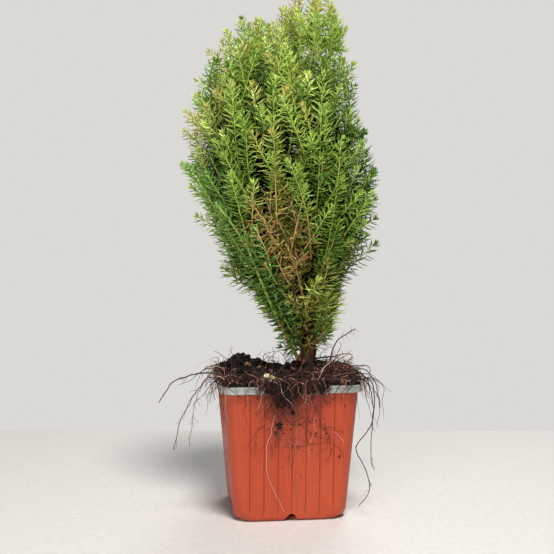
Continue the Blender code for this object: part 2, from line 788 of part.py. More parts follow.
def make_mass(name, seeds, start, parent, chance):
    walls = cell_walls(name, seeds)
    limb = "trunk" if name == "top" else f"bough_{name}"
    way = flow(start)
    root = start + way * GAP * 1.15
    best = None
    reach = SHOOT_SHORTEST
    while reach < SHOOT_LONGEST:
        tip = root + way * reach
        if crown_fill(tip) < 0.99 and room(tip, walls) > TIP_RADIUS:
            rings = core_rings(root, tip, walls, limb)
            if rings:
                best = (tip, rings)
        reach += MM
    if best is None:
        return
    tip, rings = best
    roll = chance.uniform(0, 2 * math.pi)
    main = shoot_core(root, tip, rings, roll, f"shoot_{name}")
    add_needles(root, tip, rings, roll, walls, f"{name}_0", 0.45)
    shoots = [(root, tip)]
    samples = []
    while len(samples) < TARGET_TRIES:
        place = seeds[name] + Vector([chance.uniform(-36, 36) * MM for axis in range(3)])
        if room(place, walls) > TIP_RADIUS and crown_fill(place) < 0.99:
            samples.append(place)
    for number in range(1, LOW_SHOOTS if name in LOW_RING else SHOOTS):
        ranked = sorted(samples, key=lambda q: -spread(q, shoots))
        for target in ranked[:200]:
            found = best_start(target, shoots, walls)
            if found:
                base, rings = found
                roll = chance.uniform(0, 2 * math.pi)
                shoot_core(base, target, rings, roll, f"shoot_{name}_{number}")
                add_needles(base, target, rings, roll, walls, f"{name}_{number}", 0.25)
                shoots.append((base, target))
                break
        else:
            break
    PIECES.objects.unlink(main)
    PART.objects.link(main)
    boolean(main, PIECES, "UNION", "MANIFOLD")
    remove_objects(PIECES)
    keep_main_shell(main)
    main.name = f"foliage_{name}"
    main.data.name = main.name
    main.data.materials.clear()
    main.data.materials.append(MATERIALS["needles"])
    main.parent = parent


def spread(point, shoots):
    """How far a point lies from the upper parts of the shoots so far."""
    nearest = 1.0
    for root, tip in shoots:
        a = root.lerp(tip, 0.25)
        along = tip - a
        t = min(1.0, max(0.0, (point - a).dot(along) / along.length_squared))
        nearest = min(nearest, (point - a - along * t).length)
    return nearest


def best_start(target, shoots, walls):
    """The best place on the shoots so far for one that ends at the target, with its rings."""
    choices = []
    for root, tip in shoots:
        line = (tip - root).normalized()
        for share in SHOOT_STARTS:
            base = root.lerp(tip, share)
            way = target - base
            length = way.length
            if not SHOOT_SHORTEST < length < SHOOT_LONGEST:
                continue
            way.normalize()
            turn = math.degrees(way.angle(line))
            lean = math.degrees(way.angle(flow(target)))
            short = (SHOOT_LONGEST - length) / (SHOOT_LONGEST - SHOOT_SHORTEST)
            if 14 < turn < 90 and lean < LEAN_LONG + (LEAN_SHORT - LEAN_LONG) * short:
                choices.append((length / MM + 0.5 * lean, base))
    for effort, base in sorted(choices, key=lambda c: c[0]):
        rings = core_rings(base, target, walls)
        if rings:
            return base, rings
    return None


# ---------------------------------------------------------------- roots that show


def make_clump():
    """The matted roots and soil over the front of the rim: a rough, rounded sheet, thin at its edges."""
    chance = random.Random(SEED + 1)
    shape = bmesh.new()
    outer = []
    inner = []
    for column in range(CLUMP_COLUMNS):
        across = column / (CLUMP_COLUMNS - 1)
        x = CLUMP_ENDS[0] + (CLUMP_ENDS[1] - CLUMP_ENDS[0]) * across
        low = float(np.interp(x, CLUMP_PLACES, CLUMP_LOWEST))
        line = [Vector((x, y, z)) for y, z in CLUMP_OVER]
        line.append(Vector((x, CLUMP_OVER[-1][0] - 0.3, low)))
        line = [Vector(point) for point in smooth_path(line, CLUMP_ROWS)]
        for row, point in enumerate(line):
            along = row / (CLUMP_ROWS - 1)
            body = math.sin(math.pi * across) ** 0.5 * math.sin(math.pi * (0.08 + 0.84 * along)) ** 0.5
            deep = 0.5 * CLUMP_DEEP * max(body, 0.2)
            before = line[max(row - 1, 0)]
            after = line[min(row + 1, CLUMP_ROWS - 1)]
            out = Vector((1.0, 0.0, 0.0)).cross(after - before).normalized()
            rough = 0.55 + 0.75 * chance.random()
            outer.append(shape.verts.new((point - out * deep * rough) * MM))
            inner.append(shape.verts.new((point + out * deep * 0.8) * MM))
    for side in (outer, inner):
        for column in range(CLUMP_COLUMNS - 1):
            for row in range(CLUMP_ROWS - 1):
                here = column * CLUMP_ROWS + row
                beside = here + CLUMP_ROWS
                shape.faces.new((side[here], side[here + 1], side[beside + 1], side[beside]))
    last = (CLUMP_COLUMNS - 1) * CLUMP_ROWS
    edge = [column * CLUMP_ROWS for column in range(CLUMP_COLUMNS)]
    edge += [last + row for row in range(1, CLUMP_ROWS)]
    edge += [column * CLUMP_ROWS + CLUMP_ROWS - 1 for column in range(CLUMP_COLUMNS - 2, -1, -1)]
    edge += list(range(CLUMP_ROWS - 2, 0, -1))
    for here, following in zip(edge, edge[1:] + edge[:1]):
        shape.faces.new((outer[here], outer[following], inner[following], inner[here]))
    bmesh.ops.triangulate(shape, faces=shape.faces)
    bmesh.ops.recalc_face_normals(shape, faces=shape.faces)
    from_bmesh("root_clump", shape, PART, "fine_roots")


def make_roots(soil, parent):
    ground = BVHTree.FromPolygons(
        [vertex.co for vertex in soil.data.vertices],
        [tuple(face.vertices) for face in soil.data.polygons],
    )
    for name, (radius, (x, y), points) in LOOSE_ROOTS.items():
        above = Matrix.Rotation(PLANT_TURN, 4, "Z") @ Vector((x * MM, y * MM, 2 * POT_HEIGHT))
        touched = ground.ray_cast(above, Vector((0.0, 0.0, -1.0)))[0]
        first = Vector((x * MM, y * MM, touched.z + radius * MM + ROOT_LIFT))
        path = smooth_path([first, *(Vector(p) * MM for p in points)], 3 * len(points) + 1)
        thin = [radius * MM * (1.0 - 0.4 * i / (len(path) - 1)) for i in range(len(path))]
        root = tube(f"root_{name}", path, thin, 0, "fine_roots")
        root.parent = parent
    for name, (radius, points) in FRONT_ROOTS.items():
        stand = radius * MM + 1.5 * GAP
        knots = [(x * MM, -wall_half(max(z, 4.0) * MM) - stand, z * MM) for x, z in points]
        path = smooth_path(knots, 2 * len(points) + 1)
        thin = [radius * MM * (1.0 - 0.4 * i / (len(path) - 1)) for i in range(len(path))]
        tube(f"root_{name}", path, thin, 0, "fine_roots")


def main():
    make_pot()
    make_rim()
    soil = make_soil()
    plant = bpy.data.objects.new("plant", None)
    plant.rotation_euler = (0, 0, PLANT_TURN)
    PART.objects.link(plant)
    make_trunk(plant)
    seeds = mass_seeds()
    ends = make_boughs(seeds, plant)
    chance = random.Random(SEED)
    for name in seeds:
        make_mass(name, seeds, ends[name], plant, chance)
    make_clump()
    make_roots(soil, plant)
    bpy.data.collections.remove(PIECES)


main()
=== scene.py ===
"""Looks of the potted conifer: a small square pot with soil and fine roots, and a young upright conifer."""

import itertools
import json
import math

import bmesh
import bpy
import numpy as np
from mathutils import Matrix, Vector

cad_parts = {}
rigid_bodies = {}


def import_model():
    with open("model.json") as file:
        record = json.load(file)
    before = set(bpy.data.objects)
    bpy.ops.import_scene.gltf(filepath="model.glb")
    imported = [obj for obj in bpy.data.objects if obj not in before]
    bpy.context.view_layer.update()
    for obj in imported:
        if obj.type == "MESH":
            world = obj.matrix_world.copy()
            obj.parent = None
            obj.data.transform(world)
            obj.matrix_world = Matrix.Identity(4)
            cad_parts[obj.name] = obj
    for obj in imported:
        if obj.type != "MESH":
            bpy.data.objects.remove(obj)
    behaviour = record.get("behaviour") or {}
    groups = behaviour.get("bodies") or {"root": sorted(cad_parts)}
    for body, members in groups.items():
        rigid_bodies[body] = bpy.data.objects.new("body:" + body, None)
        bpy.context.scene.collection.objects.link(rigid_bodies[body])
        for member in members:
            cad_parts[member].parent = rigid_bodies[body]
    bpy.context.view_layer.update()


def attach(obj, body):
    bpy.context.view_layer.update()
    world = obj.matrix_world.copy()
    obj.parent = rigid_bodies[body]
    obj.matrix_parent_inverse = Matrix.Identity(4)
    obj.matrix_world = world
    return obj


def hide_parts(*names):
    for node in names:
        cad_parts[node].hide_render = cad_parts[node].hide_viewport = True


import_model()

MM = 0.001
SEED = 41

# ---------------------------------------------------------------- sizes, as the solids have them

POT_HEIGHT = 66.0
POT_TOP = 66.0  # width of its mouth
POT_FOOT = 55.0  # width of its foot
POT_WALL = 1.0
POT_CORNER = 6.5
GROOVE_PITCH = 6.8
GROOVES_PER_SIDE = 7
NOTCH_HALF_WIDE = 4.4
NOTCH_TALL = 3.9
RIM_OUT = 70.4
RIM_TALL = 3.5
RIM_TOP = 66.9  # its height
LEAN = (POT_TOP - POT_FOOT) / 2 / POT_HEIGHT  # how far the wall leans out for its height
SOIL_EDGE = 68.4  # height of the soil away from its mounds
SOIL_OVERHANG = 33.4  # half its width
MOUNDS = [  # plan place, height, and half sizes
    (-24.0, 2.0, 7.0, 8.0, 13.0),
    (-14.0, 4.0, 3.6, 7.0, 12.0),
    (12.0, 0.0, 4.9, 10.0, 11.0),
    (28.0, -1.0, 3.6, 7.5, 15.0),
]

PLANT_TURN = math.radians(-7.0)
CAMERA_PLACE = (-0.0037, -0.5, 0.1414)  # in metres, from the middle of the pot's foot
CAMERA_DIP = 2.73  # degrees
PHOTO_WIDE = 554  # pixels
PHOTO_REACH = 985  # the photo's focal length in pixels
SENSOR_WIDE = 36.0
TABLE_EDGE = 0.191
ROOM_GLOW = (78, 78, 78)  # colour of the even light from all round
WALL_SEEN = (219, 217, 213)  # colour behind the plant
TRUNK_PATH = np.array([  # plan place, height and radius
    (12.0, 0.0, 73.4, 6.6),
    (12.1, 0.0, 75.0, 5.5),
    (12.3, 0.0, 77.4, 4.7),
    (12.6, 0.0, 82.4, 4.1),
    (13.2, 0.0, 90.4, 3.6),
    (14.0, 0.3, 103.4, 3.1),
    (14.2, 0.6, 121.4, 2.6),
    (13.4, 0.6, 141.4, 2.15),
    (12.2, 0.2, 161.4, 1.8),
    (11.4, -0.2, 181.4, 1.45),
    (11.8, -0.2, 201.4, 1.15),
    (13.2, 0.0, 219.4, 0.95),
    (14.4, 0.0, 232.4, 0.85),
])
TRUNK_FOOT = 12.0  # its x
CROWN_DEPTH = 0.93  # half depth for each half width
CROWN = np.array([  # height, middle and half width of the crown
    (83.4, 10.0, 5.0),
    (93.4, 8.5, 14.0),
    (108.4, 7.5, 23.0),
    (123.4, 4.5, 34.0),
    (138.4, 4.0, 42.0),
    (153.4, 1.5, 46.5),
    (168.4, -1.0, 48.8),
    (183.4, -3.5, 47.5),
    (198.4, -7.0, 44.0),
    (213.4, -5.5, 41.0),
    (228.4, -2.0, 36.0),
    (243.4, 2.5, 28.0),
    (253.4, 9.0, 17.0),
    (262.4, 15.5, 4.0),
])
FLOW_FOOT = np.array((10.0, 0.0, 61.4))
LOW_RING = ["low_right_back", "low_back", "low_left_back", "low_left_front", "low_front", "low_right_front"]
LOW_HEIGHTS = [120.4, 101.4]
LOW_REACH = [17.0, 11.5]
LOW_MIDDLE = [9.0, 13.5]
SIDES = ["right", "back_right", "back_left", "left", "front_left", "front_right"]
EVEN_HEIGHTS = [164.4, 206.4]
ODD_HEIGHTS = [143.4, 185.4, 224.4]
LEADER_HEIGHT = 247.4
SEED_SHARE = 0.58
BOUGH_BELOW = 23.0
LOW_BELOW = [14.0, 9.0]
BOUGH_ROOT = 1.3
LOWEST_FORK = 79.9
FORK_STEP = 9.0
FORK_TURN = 0.9
FORK_SLOPE = 1.5

LOOSE_ROOTS = {  # radius, plan place of the foot on the soil, and the places that the root passes
    "left_long": (0.45, (-29.0, -21.0), [
        (-38.3, -26.0, 72.4), (-47.4, -28.0, 70.6), (-54.5, -29.0, 67.4),
        (-60.7, -30.0, 58.4),
    ]),
    "left_hanging": (0.35, (-29.5, -25.0), [
        (-36.5, -27.0, 70.4), (-41.0, -28.0, 65.4), (-44.9, -29.0, 59.6),
        (-49.8, -29.0, 50.9), (-53.7, -29.0, 35.3),
    ]),
    "left_short": (0.3, (-29.5, -16.0), [
        (-36.5, -17.5, 69.9), (-41.5, -19.0, 63.4), (-44.3, -20.0, 54.1),
        (-46.8, -20.0, 35.4),
    ]),
    "right_upright": (0.4, (21.5, -9.0), [
        (24.0, -10.0, 81.4), (26.5, -11.0, 86.4), (30.5, -12.0, 89.9),
        (35.5, -13.0, 92.4),
    ]),
    "right_arch": (0.35, (31.0, -16.0), [
        (38.8, -17.0, 72.9), (44.8, -18.0, 65.7), (47.3, -18.0, 53.8),
    ]),
    "right_long": (0.35, (32.0, -8.0), [
        (38.8, -12.0, 69.2), (44.2, -16.0, 63.4), (43.0, -17.0, 45.6),
        (35.3, -18.0, 33.8), (40.4, -19.0, 23.1), (42.0, -19.0, 13.1),
        (37.0, -19.0, 4.8),
    ]),
    "right_hanging": (0.3, (29.5, -23.0), [
        (38.9, -27.0, 69.0), (42.4, -29.0, 59.4), (42.2, -30.0, 49.2),
        (41.3, -30.0, 30.7), (43.3, -30.0, 25.8),
    ]),
}
FRONT_ROOTS = {  # radius, and the x and height of the places on the pot's front
    "front_left": (0.3, [
        (-8.6, 53.4), (-11.2, 41.9), (-12.5, 36.9),
        (-12.0, 24.4), (-8.0, 13.7), (-3.6, 4.8),
    ]),
    "front_right": (0.3, [
        (0.6, 60.4), (1.9, 51.7), (1.9, 39.3),
        (0.6, 26.8), (1.8, 16.6), (4.0, 6.6),
    ]),
}

TURN = np.array(Matrix.Rotation(PLANT_TURN, 3, "Z"))


def to_pot(points):
    """From the plant's plan to the pot's frame."""
    return np.asarray(points, float) @ TURN.T


def to_plan(points):
    """From the pot's frame to the plant's plan."""
    return np.asarray(points, float) @ TURN


# ---------------------------------------------------------------- meshes


def linked(name, data):
    """A new object in the scene."""
    made = bpy.data.objects.new(name, data)
    bpy.context.scene.collection.objects.link(made)
    return made


def block_of(shape, name):
    """The finished mesh of a bmesh, which is freed."""
    mesh = bpy.data.meshes.new(name)
    shape.to_mesh(mesh)
    shape.free()
    return mesh


def mesh_object(name, points, faces, materials, indexes=None, smooth=False):
    """An object of triangles or quads (rows of one length) from points in millimetres."""
    points = np.asarray(points, float) * MM
    faces = np.asarray(faces, np.int32)
    width = faces.shape[1]
    mesh = bpy.data.meshes.new(name)
    mesh.vertices.add(len(points))
    mesh.vertices.foreach_set("co", points.astype(np.float32).ravel())
    mesh.loops.add(faces.size)
    mesh.loops.foreach_set("vertex_index", faces.ravel())
    mesh.polygons.add(len(faces))
    mesh.polygons.foreach_set("loop_start", np.arange(0, faces.size, width, dtype=np.int32))
    for material in materials:
        mesh.materials.append(material)
    if indexes is not None:
        mesh.polygons.foreach_set("material_index", np.asarray(indexes, np.int32))
    mesh.polygons.foreach_set("use_smooth", np.full(len(faces), smooth))
    mesh.update(calc_edges=True)
    return linked(name, mesh)


def point_values(made, name, values):
    """A value at each point of a mesh, for its material to read."""
    attribute = made.data.attributes.new(name, "FLOAT", "POINT")
    attribute.data.foreach_set("value", np.asarray(values, np.float32))


def places_of(made):
    """A mesh's points in millimetres."""
    points = np.zeros(len(made.data.vertices) * 3, np.float32)
    made.data.vertices.foreach_get("co", points)
    return points.reshape(-1, 3).astype(float) / MM


def dress(made, nodes):
    """Says what a piece rides on, which solids it replaces, if any."""
    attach(made, "root")
    if nodes:
        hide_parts(*nodes)


def joined_piece(name, found, materials, kinds, nodes=(), smooth=False):
    """A piece from joined lumps or tubes: found has points, faces and their owners, kinds its materials."""
    points, faces, owner = found
    made = mesh_object(name, points, faces, materials, np.asarray(kinds)[owner], smooth)
    dress(made, nodes)


def hashed(i, seed):
    """A number from -1 to 1 for each cell of a grid, the same at every call."""
    h = i[..., 0] * 374761393 + i[..., 1] * 668265263 + i[..., 2] * 1442695041 + seed * 97471111
    h = (h ^ (h >> 13)) * 1274126177
    h = h ^ (h >> 16)
    return (h & 0xFFFF) / 32767.5 - 1.0


def soft_noise(points, seed):
    """Smooth noise from -1 to 1 with features about one unit across."""
    low = np.floor(points).astype(np.int64)
    f = points - low
    f = f * f * (3 - 2 * f)
    total = 0.0
    for corner in itertools.product((0, 1), repeat=3):
        weight = np.prod(np.where(corner, f, 1 - f), axis=-1)
        total = total + weight * hashed(low + np.array(corner), seed)
    return total


def rough_noise(points, seed, octaves=3):
    """Soft noise with finer and fainter noise laid over it."""
    total = 0.0
    for k in range(octaves):
        total = total + soft_noise(points * 2.03**k, seed + 17 * k) * 0.55**k
    return total


def cell_bumps(points, seed):
    """Rounded lumps about one unit across: 1 at a lump's middle and 0 between lumps."""
    low = np.floor(points).astype(np.int64)
    nearest = np.full(len(points), 9.0)
    for step in itertools.product((-1, 0, 1), repeat=3):
        cell = low + np.array(step)
        spot = cell + 0.5 + 0.42 * np.stack([hashed(cell, seed + k) for k in range(3)], axis=-1)
        nearest = np.minimum(nearest, np.linalg.norm(spot - points, axis=-1))
    return np.clip(1.0 - nearest, 0.0, 1.0)


def smooth_path(points, count):
    """Points evenly spread in parameter along a Catmull-Rom curve through the given ones."""
    p = [np.array(q, float) for q in points]
    p = [2 * p[0] - p[1], *p, 2 * p[-1] - p[-2]]
    found = []
    spans = len(p) - 3
    for i in range(count):
        s = i / (count - 1) * spans
        k = min(int(s), spans - 1)
        t = s - k
        a, b, c, d = p[k : k + 4]
        bend = (2 * a - 5 * b + 4 * c - d) * t * t + (3 * b - a - 3 * c + d) * t**3
        found.append(0.5 * (2 * b + (c - a) * t + bend))
    return np.array(found)


def unit(vectors):
    return vectors / np.maximum(np.linalg.norm(vectors, axis=-1, keepdims=True), 1e-12)


def between(at, known, rows):
    """The columns of rows read at places between the known ones: a row for each place."""
    return np.stack([np.interp(at, known, column) for column in rows.T], axis=1)


def path_rings(paths, sides):
    """Unit ways out from each point of paths (n, k, 3), as rings (n, k, sides, 3) with little twist."""
    along = np.empty_like(paths)
    along[:, 1:-1] = paths[:, 2:] - paths[:, :-2]
    along[:, 0] = paths[:, 1] - paths[:, 0]
    along[:, -1] = paths[:, -1] - paths[:, -2]
    along = unit(along)
    helper = np.where(np.abs(along[:, :1, 2:]) < 0.9, [[[0.0, 0.0, 1.0]]], [[[1.0, 0.0, 0.0]]])
    side = np.empty_like(paths)
    side[:, 0] = unit(np.cross(along[:, 0], helper[:, 0]))
    for k in range(1, paths.shape[1]):
        kept = side[:, k - 1] - along[:, k] * (side[:, k - 1] * along[:, k]).sum(-1, keepdims=True)
        side[:, k] = unit(kept)
    other = np.cross(along, side)
    angle = 2 * math.pi * np.arange(sides) / sides
    return side[:, :, None] * np.cos(angle)[:, None] + other[:, :, None] * np.sin(angle)[:, None]


def tube_faces(rows, sides):
    """Triangles of a closed tube: its rings of points in order, then the middles of its two ends."""
    found = []
    for row in range(rows - 1):
        for column in range(sides):
            a = row * sides + column
            b = row * sides + (column + 1) % sides
            found += [(a, b, b + sides), (a, b + sides, a + sides)]
    top = (rows - 1) * sides
    for column in range(sides):
        after = (column + 1) % sides
        found += [(rows * sides, after, column), (rows * sides + 1, top + column, top + after)]
    return np.array(found)


def tubes(paths, radii, sides):
    """Points and triangles of joined closed tubes, and each triangle's tube, from paths (n, k, 3)."""
    paths = np.asarray(paths, float)
    radii = np.asarray(radii, float)
    n, k = radii.shape
    rings = paths[:, :, None] + path_rings(paths, sides) * radii[:, :, None, None]
    ends = np.stack([paths[:, 0], paths[:, -1]], axis=1)
    points = np.concatenate([rings.reshape(n, k * sides, 3), ends], axis=1)
    one = tube_faces(k, sides)
    faces = (one[None] + (np.arange(n) * (k * sides + 2))[:, None, None]).reshape(-1, 3)
    return points.reshape(-1, 3), faces, np.repeat(np.arange(n), len(one))


# ---------------------------------------------------------------- materials


class Shade:
    """A node material with a few helpers."""

    def __init__(self, name, colour, roughness=0.6):
        self.material = bpy.data.materials.new(name)
        self.material.use_nodes = True
        self.tree = self.material.node_tree
        self.shader = self.tree.nodes["Principled BSDF"]
        self.shader.inputs["Base Color"].default_value = (*colour, 1.0)
        self.shader.inputs["Roughness"].default_value = roughness
        self.material.diffuse_color = (*colour, 1.0)
        self.place = None

    def coords(self, stretch=(1.0, 1.0, 1.0)):
        if self.place is None:
            self.place = self.tree.nodes.new("ShaderNodeTexCoord")
        if stretch == (1.0, 1.0, 1.0):
            return self.place.outputs["Object"]
        mapping = self.tree.nodes.new("ShaderNodeMapping")
        mapping.inputs["Scale"].default_value = stretch
        self.tree.links.new(self.place.outputs["Object"], mapping.inputs["Vector"])
        return mapping.outputs["Vector"]

    def noise(self, scale, detail=4.0, roughness=0.6, stretch=(1.0, 1.0, 1.0)):
        made = self.tree.nodes.new("ShaderNodeTexNoise")
        made.inputs["Scale"].default_value = scale
        made.inputs["Detail"].default_value = detail
        made.inputs["Roughness"].default_value = roughness
        self.tree.links.new(self.coords(stretch), made.inputs["Vector"])
        return made.outputs["Fac"]

    def cells(self, scale, feature="F1"):
        made = self.tree.nodes.new("ShaderNodeTexVoronoi")
        made.feature = feature
        made.inputs["Scale"].default_value = scale
        self.tree.links.new(self.coords(), made.inputs["Vector"])
        return made.outputs["Distance"]

    def value(self, name):
        made = self.tree.nodes.new("ShaderNodeAttribute")
        made.attribute_name = name
        return made.outputs["Fac"]

    def ramp(self, source, stops):
        made = self.tree.nodes.new("ShaderNodeValToRGB")
        points = made.color_ramp.elements
        while len(points) < len(stops):
            points.new(0.5)
        for point, (place, colour) in zip(points, stops):
            point.position = place
            shown = colour if hasattr(colour, "__len__") else [colour] * 3
            point.color = (*shown, 1.0)
        self.tree.links.new(source, made.inputs["Fac"])
        return made.outputs["Color"]

    def give(self, socket, given):
        """Joins a node's input to another's output, or sets it to a colour or a number."""
        if isinstance(given, bpy.types.NodeSocket):
            self.tree.links.new(given, socket)
        elif hasattr(given, "__len__"):
            socket.default_value = (*given, 1.0)
        else:
            socket.default_value = given

    def mix(self, share, first, second, blend="MIX"):
        made = self.tree.nodes.new("ShaderNodeMix")
        made.data_type = "RGBA"
        made.blend_type = blend
        self.give(made.inputs[0], share)
        self.give(made.inputs[6], first)
        self.give(made.inputs[7], second)
        return made.outputs[2]

    def maths(self, operation, first, second):
        made = self.tree.nodes.new("ShaderNodeMath")
        made.operation = operation
        made.use_clamp = operation in ("MULTIPLY", "ADD")
        self.give(made.inputs[0], first)
        self.give(made.inputs[1], second)
        return made.outputs[0]

    def colour(self, source):
        self.tree.links.new(source, self.shader.inputs["Base Color"])

    def roughness(self, source):
        self.tree.links.new(source, self.shader.inputs["Roughness"])

    def bump(self, source, distance, strength=0.6):
        made = self.tree.nodes.new("ShaderNodeBump")
        made.inputs["Strength"].default_value = strength
        made.inputs["Distance"].default_value = distance
        self.tree.links.new(source, made.inputs["Height"])
        if self.shader.inputs["Normal"].is_linked:
            before = self.shader.inputs["Normal"].links[0].from_socket
            self.tree.links.new(before, made.inputs["Normal"])
        self.tree.links.new(made.outputs["Normal"], self.shader.inputs["Normal"])


def srgb(r, g, b):
    """Linear colour from 0-255 display values."""
    found = []
    for v in (r, g, b):
        c = v / 255
        found.append(c / 12.92 if c <= 0.04045 else ((c + 0.055) / 1.055) ** 2.4)
    return tuple(found)


def pot_material():
    m = Shade("pot_plastic", srgb(192, 74, 42), 0.4)
    cloudy = m.ramp(m.noise(26.0, 3.0), [(0.3, srgb(176, 64, 34)), (0.7, srgb(194, 79, 43))])
    streaks = m.ramp(m.noise(1.0, 3.0, 0.5, (700.0, 700.0, 40.0)), [(0.35, 0.9), (0.65, 1.0)])
    red = m.mix(1.0, cloudy, streaks, "MULTIPLY")
    # painted shade: a dark line in each groove
    red = m.mix(m.value("groove"), red, srgb(104, 36, 24))
    patches = m.ramp(m.noise(420.0, 5.0, 0.7), [(0.36, 0.2), (0.62, 1.0)])
    # soil smears, and painted shade below the rim, darken the red in patches; it is also darker at the foot
    # and inside
    m.colour(m.mix(m.maths("MULTIPLY", m.value("dirt_and_shade"), patches), red, srgb(78, 34, 30)))
    m.roughness(m.ramp(m.noise(160.0, 4.0, 0.7), [(0.3, 0.34), (0.7, 0.5)]))
    m.bump(m.noise(900.0, 3.0), 0.00004, 0.5)
    m.shader.inputs["Specular IOR Level"].default_value = 0.4
    return m.material


def rim_material():
    m = Shade("rim_plastic", srgb(150, 158, 148), 0.42)
    cloudy = m.ramp(m.noise(60.0, 4.0), [(0.3, srgb(138, 146, 142)), (0.7, srgb(178, 182, 176))])
    dirt_and_shade_patches = m.ramp(m.noise(240.0, 6.0, 0.75), [(0.4, 0.0), (0.62, 1.0)])
    # soil dirt, and painted shade on the band's right part, darken it in patches
    m.colour(m.mix(m.maths("MULTIPLY", dirt_and_shade_patches, m.value("dirt_and_shade")), cloudy, srgb(66, 52, 46)))
    m.roughness(m.ramp(m.noise(300.0, 4.0), [(0.3, 0.38), (0.7, 0.6)]))
    m.bump(m.noise(700.0, 4.0), 0.00006, 0.6)
    return m.material


def soil_material(name, low, high, scale=500.0):
    m = Shade(name, low, 0.95)
    palest = tuple(1.7 * c for c in high)
    m.colour(m.ramp(m.noise(scale, 6.0, 0.72), [(0.36, low), (0.55, high), (0.75, palest)]))
    m.roughness(m.ramp(m.noise(800.0, 3.0), [(0.3, 0.8), (0.7, 1.0)]))
    m.bump(m.cells(1300.0), 0.0004, 0.9)
    m.bump(m.noise(2400.0, 4.0, 0.7), 0.0002, 0.8)
    m.shader.inputs["Specular IOR Level"].default_value = 0.25
    return m.material


def bark_material(name, crack, plate):
    m = Shade(name, plate, 0.85)
    fibres = m.noise(1.0, 5.0, 0.65, (1100.0, 1100.0, 180.0))
    palest = tuple(min(1.0, 1.55 * c) for c in plate)
    tone = m.ramp(fibres, [(0.32, crack), (0.5, plate), (0.72, palest)])
    m.colour(m.mix(m.value("relief"), m.mix(0.75, tone, crack), tone))
    m.roughness(m.ramp(m.noise(900.0, 4.0), [(0.3, 0.7), (0.7, 0.95)]))
    m.bump(fibres, 0.0003, 0.8)
    return m.material


def plain_material(name, colour, smooth, rough):
    """A plain base colour, dealt out by twig or fibre, with a roughness that varies over it."""
    m = Shade(name, colour, smooth)
    m.roughness(m.ramp(m.noise(700.0, 3.0), [(0.3, smooth), (0.7, rough)]))
    m.shader.inputs["Specular IOR Level"].default_value = 0.3
    return m.material


def needle_material(name, colour):
    m = Shade(name, colour, 0.52)
    m.shader.inputs["Specular IOR Level"].default_value = 0.35
    return m.material


TINTS = {  # needle colours, dealt out by shoot and by place along it; shade and dark are painted shade deep in the crown
    "needle_gold": srgb(196, 188, 102),
    "needle_lime": srgb(198, 220, 116),
    "needle_fresh": srgb(156, 188, 80),
    "needle_mid": srgb(90, 128, 44),
    "needle_deep": srgb(62, 96, 38),
    "needle_blue": srgb(130, 178, 88),
    "needle_dark": srgb(32, 40, 18),
    "needle_shade": srgb(18, 18, 10),
    "needle_olive": srgb(148, 150, 56),
    "needle_tan": srgb(224, 194, 130),
    "needle_rust": srgb(172, 122, 76),
}
NEEDLE_MATERIALS = [needle_material(name, tint) for name, tint in TINTS.items()]
LIME, YELLOW, STRAW, ORANGE, BROWN = range(5)  # places in STEMS
STEMS = [
    plain_material("stem_lime", srgb(176, 200, 96), 0.5, 0.7),
    plain_material("stem_yellow", srgb(190, 184, 98), 0.5, 0.7),
    plain_material("stem_straw", srgb(220, 190, 118), 0.55, 0.75),
    plain_material("stem_orange", srgb(218, 160, 100), 0.6, 0.8),
    plain_material("stem_brown", srgb(112, 70, 46), 0.7, 0.9),
]
SOILS = [  # the third is for chips
    soil_material("soil_dark", srgb(8, 6, 5), srgb(24, 16, 13)),
    soil_material("soil_brown", srgb(30, 19, 14), srgb(60, 38, 29)),
    soil_material("soil_chip", srgb(84, 60, 44), srgb(134, 104, 78)),
]
ROOTS = [
    plain_material("root_dark", srgb(25, 15, 13), 0.65, 0.9),
    plain_material("root_brown", srgb(50, 29, 23), 0.65, 0.9),
    plain_material("root_red", srgb(90, 50, 41), 0.6, 0.85),
    plain_material("root_pale", srgb(170, 124, 102), 0.6, 0.8),
    plain_material("root_pink", srgb(216, 176, 156), 0.55, 0.8),
]
PALE_STONE = soil_material("pale_stone", srgb(172, 160, 112), srgb(224, 216, 168), 300.0)
BARK = bark_material("bark", srgb(34, 18, 15), srgb(138, 80, 64))
YOUNG_BARK = bark_material("young_bark", srgb(112, 66, 40), srgb(204, 158, 96))


def hues(*names):
    """The places in NEEDLE_MATERIALS of the needle colours with these names."""
    return tuple(list(TINTS).index(f"needle_{name}") for name in names)


# ---------------------------------------------------------------- pot


GROOVE_PLACES = [(k - (GROOVES_PER_SIDE - 1) / 2) * GROOVE_PITCH for k in range(GROOVES_PER_SIDE)]
GROOVE_HALF = 0.34
GROOVE_DEPTH = 0.3
SIDE_END = 20.92  # where the straight part of a side ends
CORNER_STEPS = 14
HEEL_STEPS = 12
HEEL_LEAST = 2.4
HEEL_MORE = 4.6  # how much taller the heel's bend is at the corners
INNER_FLOOR = 1.0


def wall_half(height, inset=0.0):
    """Half the pot's width at a height."""
    return POT_FOOT / 2 + LEAN * height - inset


def side_places():
    """Places along one straight side, close together round each groove."""
    found = {-SIDE_END, SIDE_END}
    for middle in GROOVE_PLACES:
        for step in (-0.5, -0.34, -0.2, -0.08, 0.0, 0.08, 0.2, 0.34, 0.5, 1.6, 2.7, 3.8):
            if abs(middle + step) < SIDE_END:
                found.add(middle + step)
    return np.array(sorted(found))


STRAIGHT = side_places()


